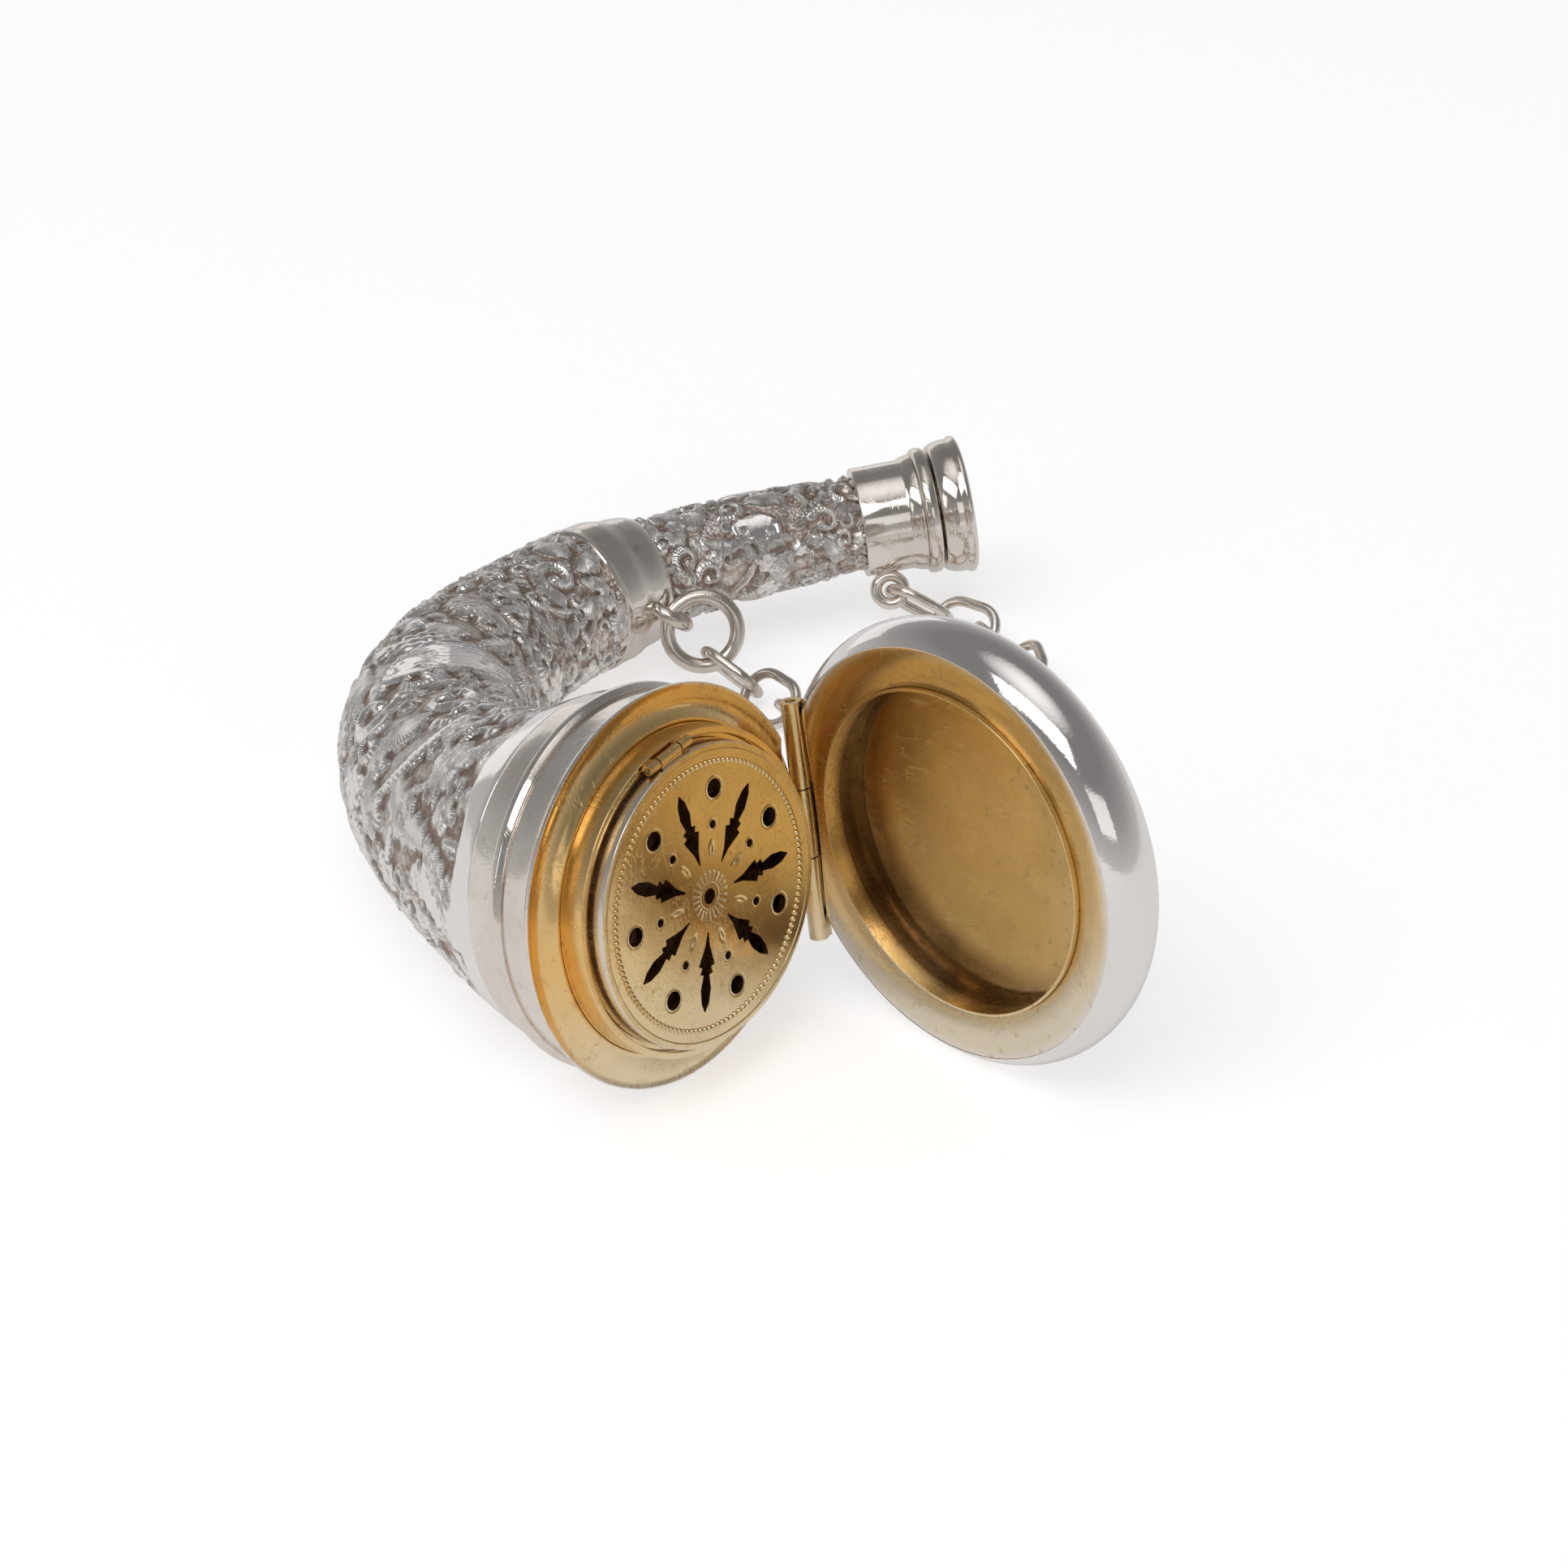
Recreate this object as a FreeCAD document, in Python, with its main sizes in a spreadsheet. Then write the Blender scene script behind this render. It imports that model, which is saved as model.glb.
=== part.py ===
import FreeCAD, Part
import math
import os
import Sketcher

# A horn-shaped silver vinaigrette, lying on its side with the lid open.
# Millimetres. The table is the plane z = 0. The mouth faces -Y and the horn bends towards +X.

os.makedirs("parts", exist_ok=True)
doc = FreeCAD.newDocument("Vinaigrette")

# Driving dimensions
SIZES = {
    # place of the mouth on the table
    "mouth_x": -24.61, "mouth_y": -7.56, "mouth_rise": 13.084,
    "mouth_tilt": 10.47, "hinge_roll": -2.11,
    # mouth: radii from its axis, heights from the flange's edge
    "mouth_radius": 13.0, "flange_lip": 0.3, "flange_hollow": 0.55,
    "flange_bore": 10.62, "flange_shoulder": 10.85, "shoulder_rise": 0.45,
    "collar_top_radius": 12.95, "collar_waist_radius": 12.4, "collar_waist": 0.8,
    "collar_mid_radius": 12.1, "collar_mid": 3.0, "collar_foot_radius": 11.95,
    "collar_foot": 4.3, "collar_end_radius": 11.5, "collar_length": 6.6, "sheet_wall": 0.4,
    "reed_width": 1.0, "reed_bulge": 0.42,
    # grille and its seat
    "seat_radius": 10.6, "seat_bore": 10.15, "seat_top": 2.2, "seat_depth": 5.9,
    "ledge_bore": 9.5, "ledge_top": 1.5, "ledge_thick": 0.3, "floor_thick": 0.4,
    "sponge_radius": 9.9, "sponge_top": 0.9, "sponge_crown": 0.25,
    "frame_radius": 9.8, "frame_bore": 9.35, "frame_foot": 1.6, "frame_top": 3.25,
    "plate_foot": 2.7, "plate_thick": 0.5, "border_radius": 8.63, "border_wire": 0.25,
    "round_hole": 0.62, "round_pitch": 6.9, "small_hole": 0.27, "small_pitch": 4.6,
    "centre_hole": 0.5, "grille_turn": 76.0,
    "grille_hinge_at": 98.6, "grille_hinge_reach": 10.2, "grille_hinge_rise": 2.75,
    "grille_barrel": 0.35, "grille_pin": 0.17, "grille_bore": 0.21,
    "grille_hinge_half": 2.0, "grille_leg_half": 1.7, "grille_leg_thick": 0.3,
    "grille_knuckle_half": 0.95, "knuckle_gap": 0.1,
    # lid, drawn shut on the mouth, then swung open about its hinge
    "lid_open": 84.0, "lid_hinge_reach": 12.51, "lid_hinge_rise": 0.43,
    "barrel_radius": 0.65, "pin_radius": 0.3, "barrel_bore": 0.34,
    "hinge_top": 7.9, "hinge_mid_top": 1.85, "hinge_mid_foot": 2.9, "hinge_foot": 8.8,
    "lid_rim": 13.84, "rim_rise": 0.64, "roll_out": 1.1, "roll_back": 5.1, "roll_back_radius": 13.9,
    "dome_radius": 12.9, "dome_foot": 5.35, "dome_top": 7.9, "lid_wall": 0.45,
    "lining_hollow": 0.98, "bezel_radius": 11.0, "bezel_bore": 10.8, "bezel_front": 0.74,
    "bezel_back": 3.7, "bezel_step": 2.15, "bezel_relief": 0.08,
    "pan_edge": 10.3, "pan_rise": 3.9, "pan_dish": 0.7, "pan_thick": 0.25,
    # horn: distances along its centre line
    "horn_straight": 6.6, "bend_run": 10.6, "shell_wall": 0.5,
    # small end: distances along its own axis from the collar's start
    "tip_collar": 4.07, "tip_bore": 3.3, "tip_collar_end": 3.6, "tip_flare": 4.35,
    "bead_start": 4.6, "bead_end": 5.75, "bead_bulge": 0.38,
    "bell_start": 5.85, "bell_neck": 4.55, "bell_mouth": 4.7, "bell_end": 7.5, "bell_waist": 0.15,
    "rim_wire": 0.4, "bell_cup": 4.15, "bell_cup_foot": 3.8, "bell_floor": 6.4,
    "plug_radius": 2.6, "plug_foot": 1.5, "cork_radius": 3.2, "cork_foot": 2.0, "cork_top": 4.6,
    "liner_radius": 2.25, "liner_bore": 1.95, "liner_depth": 8.0, "liner_rim": 0.5,
    "liner_top": 0.9,
    # eyes, ring and chain
    "eye_loop": 1.3, "eye_wire": 0.5, "eye_reach": 5.43, "eye_drop": 0.4,
    "band_eye_at": 62.9, "ring_loop": 2.55, "ring_wire": 0.55,
    "ring_hold": 0.72, "band_at_eye": 4.85,
    "tip_eye_loop": 1.05, "tip_eye_wire": 0.43, "tip_eye_at": 2.5, "tip_eye_drop": 5.45,
    "link_wire": 0.38, "link_end": 1.7, "link_pitch": 4.0, "link_gap": 0.17,
    "chain_height": 1.7, "chain_leave": -85.5, "chain_second": -102.0,
    "chain_third": -94.26, "chain_turn": 23.643,
    # place of the chain's first joint, from the mouth's centre and the table
    "chain_x": 37.1, "chain_y": 28.4, "chain_start_height": 3.1,
}

# The horn's centre line turns by these angles, one for each bend of equal length
BENDS = (18.5, 18.0, 19.5, 22.0, 23.0, 20.0, 10.5)

# Outer radius of the horn at distances along the centre line
BODY_RADII = ((6.6, 11.5), (10.0, 10.1), (15.0, 8.6), (21.0, 7.6), (28.0, 6.9), (36.0, 6.7),
              (44.0, 6.25), (52.0, 5.4), (58.3, 5.28))
BAND_RADII = ((58.3, 5.4), (60.6, 5.32), (61.4, 5.0), (62.7, 4.85), (63.3, 4.75), (64.0, 4.4))
NECK_RADII = ((64.0, 4.18), (66.5, 4.02), (70.0, 3.95), (76.0, 3.8), (80.8, 3.45))

# Half of an arrow slot's outline in the grille: reach from the middle, and half the width there
ARROW_SLOT = ((2.3, 0.05), (3.2, 0.22), (4.45, 0.75), (4.6, 0.42), (5.0, 0.6), (5.1, 0.28),
              (6.0, 0.48), (6.9, 0.36), (7.5, 0.05))

# Rolls of the chain's links about their own length: the first, the second, then turn and turn
FIRST_ROLL, SECOND_ROLL, LINK_ROLL = -50.0, 45.0, 45.0

sheet = doc.addObject("Spreadsheet::Sheet", "Sizes")
for row, (name, value) in enumerate(SIZES.items(), start=1):
    sheet.set("A%d" % row, name)
    sheet.set("B%d" % row, repr(value))
    sheet.setAlias("B%d" % row, name)
doc.recompute()


class Size:
    """A length known both as a number and as the text of the expression that gives it."""

    def __init__(self, value, text):
        self.value = value
        self.text = text

    def joined(self, sign, other, value):
        return Size(value, "(%s %s %s)" % (self.text, sign, as_size(other).text))

    def __add__(self, other):
        return self.joined("+", other, self.value + as_size(other).value)

    def __sub__(self, other):
        return self.joined("-", other, self.value - as_size(other).value)

    def __mul__(self, other):
        return self.joined("*", other, self.value * as_size(other).value)

    def __truediv__(self, other):
        return self.joined("/", other, self.value / as_size(other).value)

    def __rsub__(self, other):
        return as_size(other) - self

    def __neg__(self):
        return Size(-self.value, "(0 - %s)" % self.text)


def as_size(number):
    if isinstance(number, Size):
        return number
    return Size(float(number), "(%r)" % float(number))


def root(number):
    return Size(math.sqrt(number.value), "sqrt(%s)" % number.text)


def cap_bow(radius, rise):
    """The bow of an arc from the axis to a radius that leaves the axis squarely."""
    chord2 = radius * radius + rise * rise
    ball = chord2 / (rise * 2)
    return ball - root(ball * ball - chord2 / 4)


class Sizes:
    """The sheet's sizes, read by name."""

    def __getattr__(self, name):
        return Size(SIZES[name], "Sizes." + name)


size = Sizes()
num = SIZES
V = FreeCAD.Vector
X_AXIS, Y_AXIS, Z_AXIS = V(1, 0, 0), V(0, 1, 0), V(0, 0, 1)
STRAIGHT = None


def bind(item, prop, value):
    """Set a property to a size, and tie it to the sheet."""
    value = as_size(value)
    setattr(item, prop, value.value)
    item.setExpression(prop, value.text)


def moved(x, y, z):
    return FreeCAD.Placement(V(x, y, z), FreeCAD.Rotation())


def turned_about(axis, angle, point=V(0, 0, 0)):
    """A turn by an angle in degrees about an axis through a point."""
    return FreeCAD.Placement(V(0, 0, 0), FreeCAD.Rotation(axis, angle), point)


def origin_item(body, role):
    return [item for item in body.Origin.OriginFeatures if item.Role == role][0]


def sketch_on(body, role, name):
    sketch = body.newObject("Sketcher::SketchObject", name)
    sketch.AttachmentSupport = [(origin_item(body, role), "")]
    sketch.MapMode = "FlatFace"
    return sketch


def tie(sketch, kind, value, *where):
    """Add a dimension to a sketch and tie it to the sheet."""
    value = as_size(value)
    number = sketch.addConstraint(Sketcher.Constraint(kind, *where, value.value))
    name = "dim%d" % number
    sketch.renameConstraint(number, name)
    sketch.setExpression("Constraints." + name, value.text)


def draw_outline(sketch, outline):
    """A closed outline of corners (u, v, bulge): bulge is how far the edge that arrives at the
    corner bows to the left of its direction, and STRAIGHT for a straight edge."""
    count = len(outline)
    corners = [(as_size(u), as_size(v)) for u, v, bulge in outline]
    first = len(sketch.Geometry)
    starts = []
    for index in range(count):
        u0, v0 = corners[index]
        u1, v1 = corners[(index + 1) % count]
        bulge = outline[(index + 1) % count][2]
        p, q = V(u0.value, v0.value, 0), V(u1.value, v1.value, 0)
        if bulge is STRAIGHT:
            sketch.addGeometry(Part.LineSegment(p, q), False)
            starts.append(1)
            continue
        bulge = as_size(bulge)
        along = (q - p).normalize()
        middle = (p + q) * 0.5 + V(-along.y, along.x, 0) * bulge.value
        sketch.addGeometry(Part.Arc(p, middle, q), False)
        starts.append(1 if (sketch.getPoint(first + index, 1) - p).Length < 1e-6 else 2)
    for index in range(count):
        here, after = first + index, first + (index + 1) % count
        end = 3 - starts[index]
        start = starts[(index + 1) % count]
        sketch.addConstraint(Sketcher.Constraint("Coincident", here, end, after, start))
    for index in range(count):
        u, v = corners[index]
        here = first + index
        tie(sketch, "DistanceX", u, -1, 1, here, starts[index])
        tie(sketch, "DistanceY", v, -1, 1, here, starts[index])
    for index in range(count):
        bulge = outline[(index + 1) % count][2]
        if bulge is STRAIGHT:
            continue
        (u0, v0), (u1, v1) = corners[index], corners[(index + 1) % count]
        bow = as_size(bulge)
        chord2 = (u1 - u0) * (u1 - u0) + (v1 - v0) * (v1 - v0)
        reach = (bow * bow - chord2 / 4) / (bow * 2) / root(chord2)
        if abs((u1 - u0).value) < abs((v1 - v0).value):
            tie(sketch, "DistanceX", (u0 + u1) / 2 - (v1 - v0) * reach, -1, 1, first + index, 3)
        else:
            tie(sketch, "DistanceY", (v0 + v1) / 2 + (u1 - u0) * reach, -1, 1, first + index, 3)


def turned(label, outline, placement):
    """A piece turned about its own Z: the outline's corners are (radius, height, bulge)."""
    body = doc.addObject("PartDesign::Body", label)
    body.Label = label
    sketch = sketch_on(body, "XZ_Plane", label + "_outline")
    draw_outline(sketch, outline)
    spin = body.newObject("PartDesign::Revolution", label + "_turning")
    spin.Profile = sketch
    spin.ReferenceAxis = (sketch, ["V_Axis"])
    spin.Angle = 360
    body.Placement = placement
    return body


def cylinder(name, radius, low, high, placement):
    """A cylinder about the placement's Z, from low to high along it."""
    item = doc.addObject("Part::Cylinder", name)
    low, high = as_size(low), as_size(high)
    bind(item, "Radius", radius)
    bind(item, "Height", high - low)
    item.Placement = placement * moved(0, 0, low.value)
    return item


def box(name, low, high, placement):
    """A box between two corners in the placement's frame."""
    item = doc.addObject("Part::Box", name)
    low = [as_size(value) for value in low]
    high = [as_size(value) for value in high]
    for prop, start, end in zip(("Length", "Width", "Height"), low, high):
        bind(item, prop, end - start)
    item.Placement = placement * moved(*[value.value for value in low])
    return item


def torus(name, loop, wire, placement):
    item = doc.addObject("Part::Torus", name)
    bind(item, "Radius1", loop)
    bind(item, "Radius2", wire)
    item.Placement = placement
    return item


def joined(label, items):
    item = doc.addObject("Part::MultiFuse", label)
    item.Label = label
    item.Shapes = items
    return item


def cut(label, base, tool):
    item = doc.addObject("Part::Cut", label)
    item.Label = label
    item.Base = base
    item.Tool = tool
    return item


# Frames of the mouth, of the open lid and of the grille's hinge
HOME = moved(num["mouth_x"], num["mouth_y"], num["mouth_rise"])
MOUTH = (HOME * turned_about(X_AXIS, 90 - num["mouth_tilt"])
         * turned_about(Z_AXIS, num["hinge_roll"]))
HINGE = V(num["lid_hinge_reach"], 0, num["lid_hinge_rise"])
LID = MOUTH * turned_about(Y_AXIS, num["lid_open"], HINGE)


def station(distance):
    """The frame of the horn's centre line at a distance from the mouth: Z runs along the horn
    towards its small end, and Y lies square to the plane that the horn bends in."""
    frame = turned_about(X_AXIS, 90 - num["mouth_tilt"]) * turned_about(X_AXIS, 180)
    frame = HOME * frame * moved(0, 0, min(distance, num["horn_straight"]))
    left = distance - num["horn_straight"]
    for bend in BENDS:
        if left <= 0:
            break
        run = min(left, num["bend_run"])
        radius = num["bend_run"] / math.radians(bend)
        part_bend = bend * run / num["bend_run"]
        frame = frame * turned_about(Y_AXIS, part_bend, V(radius, 0, 0))
        left -= run
    return frame * moved(0, 0, max(left, 0))


def tube_along(label, radii, wall, ruled):
    """A hollow shell through circles square to the horn's centre line."""
    sides = []
    for side, inset in (("outer", 0), ("inner", wall)):
        circles = []
        for number, (distance, radius) in enumerate(radii):
            circle = doc.addObject("Part::Circle", "%s_%s_%d" % (label, side, number))
            bind(circle, "Radius", as_size(radius) - inset)
            circle.Placement = station(distance)
            circles.append(circle)
        loft = doc.addObject("Part::Loft", "%s_%s" % (label, side))
        loft.Sections = circles
        loft.Solid = True
        loft.Ruled = ruled
        sides.append(loft)
    return cut(label, *sides)


# Mouth: collar, reeded wire and gilt flange, notched for the lid's hinge
def mouth_notch(name):
    floor = -(size.flange_lip + 0.15)
    return box(name, (11.75, -(size.hinge_foot + 0.2), floor),
               (14.5, size.hinge_foot + 0.2, size.barrel_radius * 4), MOUTH)


wall = size.sheet_wall
collar = turned("collar_ring", [
    (size.collar_top_radius, -size.flange_lip, STRAIGHT),
    (size.collar_waist_radius, -size.collar_waist, STRAIGHT),
    (size.collar_mid_radius, -size.collar_mid, STRAIGHT),
    (size.collar_foot_radius, -size.collar_foot, STRAIGHT),
    (size.collar_end_radius, -size.collar_length, STRAIGHT),
    (size.collar_end_radius - wall, -size.collar_length, STRAIGHT),
    (size.collar_foot_radius - wall, -size.collar_foot, STRAIGHT),
    (size.collar_mid_radius - wall, -size.collar_mid, STRAIGHT),
    (size.collar_waist_radius - wall, -(size.collar_waist + 0.1), STRAIGHT),
    (size.collar_top_radius - wall * 0.5, -size.flange_lip, STRAIGHT)], MOUTH)
cut("mouth_collar", collar, mouth_notch("collar_notch"))

slope = (size.collar_mid_radius - size.collar_foot_radius) / (size.collar_foot - size.collar_mid)
reed_top = size.collar_mid + 0.1
turned("reeded_wire", [
    (size.collar_mid_radius - slope * 0.1, -reed_top, -size.reed_bulge),
    (size.collar_mid_radius - slope * (size.reed_width + 0.1), -(reed_top + size.reed_width),
     STRAIGHT)], MOUTH)

flange = turned("flange_ring", [
    (size.mouth_radius, 0, STRAIGHT),
    (size.flange_shoulder, size.shoulder_rise, size.flange_hollow * 0.73),
    (size.flange_bore, size.shoulder_rise, STRAIGHT),
    (size.flange_bore, 0.1, STRAIGHT),
    (size.mouth_radius - 0.5, -size.flange_lip, -size.flange_hollow * 0.9),
    (size.mouth_radius, -size.flange_lip, STRAIGHT)], MOUTH)
cut("mouth_flange", flange, mouth_notch("flange_notch"))

# Seat, floor and sponge
turned("grille_seat", [
    (size.seat_radius, -size.seat_depth, STRAIGHT),
    (size.seat_radius, size.seat_top, STRAIGHT),
    (size.seat_bore, size.seat_top, STRAIGHT),
    (size.seat_bore, size.ledge_top, STRAIGHT),
    (size.ledge_bore, size.ledge_top, STRAIGHT),
    (size.ledge_bore, size.ledge_top - size.ledge_thick, STRAIGHT),
    (size.seat_bore, size.ledge_top - size.ledge_thick, STRAIGHT),
    (size.seat_bore, -size.seat_depth, STRAIGHT)], MOUTH)
floor_top = size.floor_thick - size.seat_depth
turned("seat_floor", [
    (0, -size.seat_depth, STRAIGHT),
    (size.seat_bore, -size.seat_depth, STRAIGHT),
    (size.seat_bore, floor_top, STRAIGHT),
    (0, floor_top, STRAIGHT)], MOUTH)
turned("sponge", [
    (0, floor_top, STRAIGHT),
    (size.sponge_radius, floor_top, STRAIGHT),
    (size.sponge_radius, size.sponge_top - size.sponge_crown, STRAIGHT),
    (0, size.sponge_top, -cap_bow(size.sponge_radius, size.sponge_crown))], MOUTH)

# Grille: frame, pierced plate, beaded border
turned("grille_frame", [
    (size.frame_radius, size.frame_foot, STRAIGHT),
    (size.frame_radius, size.frame_top, STRAIGHT),
    (size.frame_bore, size.frame_top, STRAIGHT),
    (size.frame_bore, size.frame_foot, STRAIGHT)], MOUTH)
plate_top = size.plate_foot + size.plate_thick
turned("grille_border", [
    (size.border_radius - size.border_wire, plate_top, -size.border_wire * 0.8),
    (size.border_radius + size.border_wire, plate_top, STRAIGHT)], MOUTH)


def grille_plate():
    """A disc with seven round holes, seven small ones, seven arrow slots and a centre hole."""
    body = doc.addObject("PartDesign::Body", "grille_plate")
    body.Label = "grille_plate"
    disc = sketch_on(body, "XY_Plane", "plate_disc")
    disc.addGeometry(Part.Circle(V(0, 0, 0), Z_AXIS, num["frame_bore"]), False)
    disc.addConstraint(Sketcher.Constraint("Coincident", 0, 3, -1, 1))
    tie(disc, "Radius", size.frame_bore, 0)
    pad = body.newObject("PartDesign::Pad", "plate_pad")
    pad.Profile = disc
    bind(pad, "Length", size.plate_thick)
    holes = sketch_on(body, "XY_Plane", "plate_holes")
    for number, (pitch, radius) in enumerate(((size.round_pitch, size.round_hole),
                                              (size.small_pitch, size.small_hole))):
        holes.addGeometry(Part.Circle(V(pitch.value, 0, 0), Z_AXIS, radius.value), False)
        holes.addConstraint(Sketcher.Constraint("PointOnObject", number, 3, -1))
        tie(holes, "DistanceX", pitch, -1, 1, number, 3)
        tie(holes, "Radius", radius, number)
    half_step = math.radians(180 / 7)
    outline = list(ARROW_SLOT) + [(reach, -half) for reach, half in reversed(ARROW_SLOT)]
    cosine, sine = math.cos(half_step), math.sin(half_step)
    draw_outline(holes, [(reach * cosine + half * sine, reach * sine - half * cosine, STRAIGHT)
                         for reach, half in outline])
    pocket = body.newObject("PartDesign::Pocket", "plate_piercing")
    pocket.Profile = holes
    pocket.Type = "ThroughAll"
    pocket.Midplane = True
    pattern = body.newObject("PartDesign::PolarPattern", "plate_pattern")
    pattern.Originals = [pocket]
    pattern.Axis = (origin_item(body, "Z_Axis"), [""])
    pattern.Angle = 360
    pattern.Occurrences = 7
    body.Tip = pattern
    centre = sketch_on(body, "XY_Plane", "plate_centre")
    centre.addGeometry(Part.Circle(V(0, 0, 0), Z_AXIS, num["centre_hole"]), False)
    centre.addConstraint(Sketcher.Constraint("Coincident", 0, 3, -1, 1))
    tie(centre, "Radius", size.centre_hole, 0)
    middle = body.newObject("PartDesign::Pocket", "plate_middle")
    middle.Profile = centre
    middle.Type = "ThroughAll"
    middle.Midplane = True
    body.Tip = middle
    body.Placement = MOUTH * moved(0, 0, num["plate_foot"]) * turned_about(Z_AXIS,
                                                                          num["grille_turn"])
    return body


grille_plate()


# The grille's hinge: its frame's Y is the pin's direction, and X points outwards
GRILLE_HINGE = (MOUTH * turned_about(Z_AXIS, num["grille_hinge_at"])
                * moved(num["grille_hinge_reach"], 0, num["grille_hinge_rise"]))
ALONG_Y = turned_about(X_AXIS, -90)


def barrel(name, radius, low, high, frame):
    """A cylinder about the Y direction of a hinge's frame."""
    return cylinder(name, radius, low, high, frame * ALONG_Y)


leg_foot = size.seat_top - size.grille_hinge_rise
seat_near = size.seat_bore - size.grille_hinge_reach
knuckle_start = size.grille_knuckle_half + size.knuckle_gap
fixed = []
for side, low, high, leg_low, leg_high in (
        ("left", knuckle_start, size.grille_hinge_half, knuckle_start, size.grille_leg_half),
        ("right", -size.grille_hinge_half, -knuckle_start, -size.grille_leg_half, -knuckle_start)):
    fixed.append(barrel("grille_barrel_" + side, size.grille_barrel, low, high, GRILLE_HINGE))
    fixed.append(box("grille_leg_" + side, (seat_near, leg_low, leg_foot),
                     (seat_near + size.grille_leg_thick, leg_high, 0), GRILLE_HINGE))
cut("grille_hinge_fixed", joined("grille_knuckles", fixed),
    barrel("grille_hinge_bore", size.grille_bore, -size.grille_hinge_half - 1,
           size.grille_hinge_half + 1, GRILLE_HINGE))
ring_near = size.frame_radius - size.grille_hinge_reach - 0.1
moving = joined("grille_leaf_and_knuckle", [
    barrel("grille_barrel_middle", size.grille_barrel, -size.grille_knuckle_half,
           size.grille_knuckle_half, GRILLE_HINGE),
    box("grille_leaf", (ring_near, -size.grille_knuckle_half, -size.grille_barrel * 0.8),
        (0, size.grille_knuckle_half, size.grille_barrel * 0.8), GRILLE_HINGE)])
moving = cut("grille_knuckle_trimmed", moving,
             cylinder("grille_frame_space", size.frame_radius, 0, size.frame_top + 2, MOUTH))
cut("grille_hinge_moving", moving,
    barrel("grille_knuckle_bore", size.grille_bore, -size.grille_hinge_half,
           size.grille_hinge_half, GRILLE_HINGE))
barrel("grille_hinge_pin", size.grille_pin, -size.grille_hinge_half, size.grille_hinge_half,
       GRILLE_HINGE)


# Lid: silver shell, hollowed gilt lining, bezel and dished pan
def lid_notch(name):
    """The room for the hinge's barrel in the lid's edge."""
    return box(name, (11.75, -(size.hinge_foot + 0.2), -0.5),
               (16.5, size.hinge_foot + 0.2, size.lid_hinge_rise + size.barrel_radius + 0.07), LID)


dome_rise = size.dome_top - size.dome_foot
shell = turned("lid_shell_whole", [
    (size.lid_rim, size.rim_rise, STRAIGHT),
    (size.roll_back_radius, size.roll_back, -size.roll_out),
    (size.dome_radius, size.dome_foot, STRAIGHT),
    (0, size.dome_top, -cap_bow(size.dome_radius, dome_rise)),
    (0, size.dome_top - size.lid_wall, STRAIGHT),
    (size.dome_radius - 0.1, size.dome_foot - size.lid_wall,
     cap_bow(size.dome_radius - 0.1, dome_rise)),
    (size.roll_back_radius - 0.3, size.roll_back - 0.3, STRAIGHT),
    (size.lid_rim + 0.11, size.rim_rise + 0.31, size.roll_out - 0.3)], LID)
cut("lid_shell", shell, lid_notch("shell_notch"))
lining_rise = size.rim_rise + 0.56
lining = turned("lid_lining_whole", [
    (size.lid_rim, size.rim_rise, STRAIGHT),
    (size.bezel_radius, lining_rise, -size.lining_hollow),
    (size.bezel_radius, lining_rise + 0.55, STRAIGHT),
    (size.lid_rim + 0.11, size.rim_rise + 0.31, size.lining_hollow)], LID)
cut("lid_lining", lining, lid_notch("lining_notch"))
turned("lid_bezel", [
    (size.bezel_radius, size.bezel_front, STRAIGHT),
    (size.bezel_radius, size.bezel_back, STRAIGHT),
    (size.bezel_bore + size.bezel_relief, size.bezel_back, STRAIGHT),
    (size.bezel_bore + size.bezel_relief, size.bezel_step, STRAIGHT),
    (size.bezel_bore, size.bezel_step, STRAIGHT),
    (size.bezel_bore, size.bezel_front, STRAIGHT)], LID)
pan_bow = cap_bow(size.pan_edge, size.pan_dish)
turned("lid_pan", [
    (0, size.pan_rise + size.pan_dish, STRAIGHT),
    (size.pan_edge, size.pan_rise, pan_bow),
    (size.bezel_radius, size.bezel_back, STRAIGHT),
    (size.bezel_radius, size.bezel_back + size.pan_thick, STRAIGHT),
    (size.pan_edge, size.pan_rise + size.pan_thick, STRAIGHT),
    (0, size.pan_rise + size.pan_dish + size.pan_thick, -pan_bow)], LID)


# The lid's hinge
def hinge_knuckle(label, low, high, frame, leaf_low, leaf_high):
    """A bored barrel with a leaf that joins it to the piece it belongs to."""
    at_hinge = frame * FreeCAD.Placement(HINGE, FreeCAD.Rotation())
    round_part = barrel(label + "_barrel", size.barrel_radius, low, high, at_hinge)
    leaf = box(label + "_leaf", (-size.barrel_radius * 0.7, low, leaf_low),
               (size.barrel_radius * 0.6, high, leaf_high), at_hinge)
    bore = barrel(label + "_bore", size.barrel_bore, low - 1, high + 1, at_hinge)
    cut(label, joined(label + "_blank", [round_part, leaf]), bore)


notch_drop = -(size.flange_lip + 0.15) - size.lid_hinge_rise
hinge_knuckle("body_knuckle", -size.hinge_mid_foot, size.hinge_mid_top, MOUTH, notch_drop, 0)
notch_roof = size.barrel_radius + 0.07
hinge_knuckle("lid_knuckle_upper", size.hinge_mid_top + size.knuckle_gap, size.hinge_top, LID,
              0, notch_roof)
hinge_knuckle("lid_knuckle_lower", -size.hinge_foot, -size.hinge_mid_foot - size.knuckle_gap, LID,
              0, notch_roof)
barrel("lid_hinge_pin", size.pin_radius, -size.hinge_foot + 0.15, size.hinge_top - 0.15,
       MOUTH * FreeCAD.Placement(HINGE, FreeCAD.Rotation()))

# Horn: chased wide part, plain band, chased neck
tube_along("horn_body", BODY_RADII, size.shell_wall, False)
tube_along("horn_band", BAND_RADII, size.shell_wall * 2, True)
tube_along("horn_neck", NECK_RADII, size.shell_wall, False)

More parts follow.
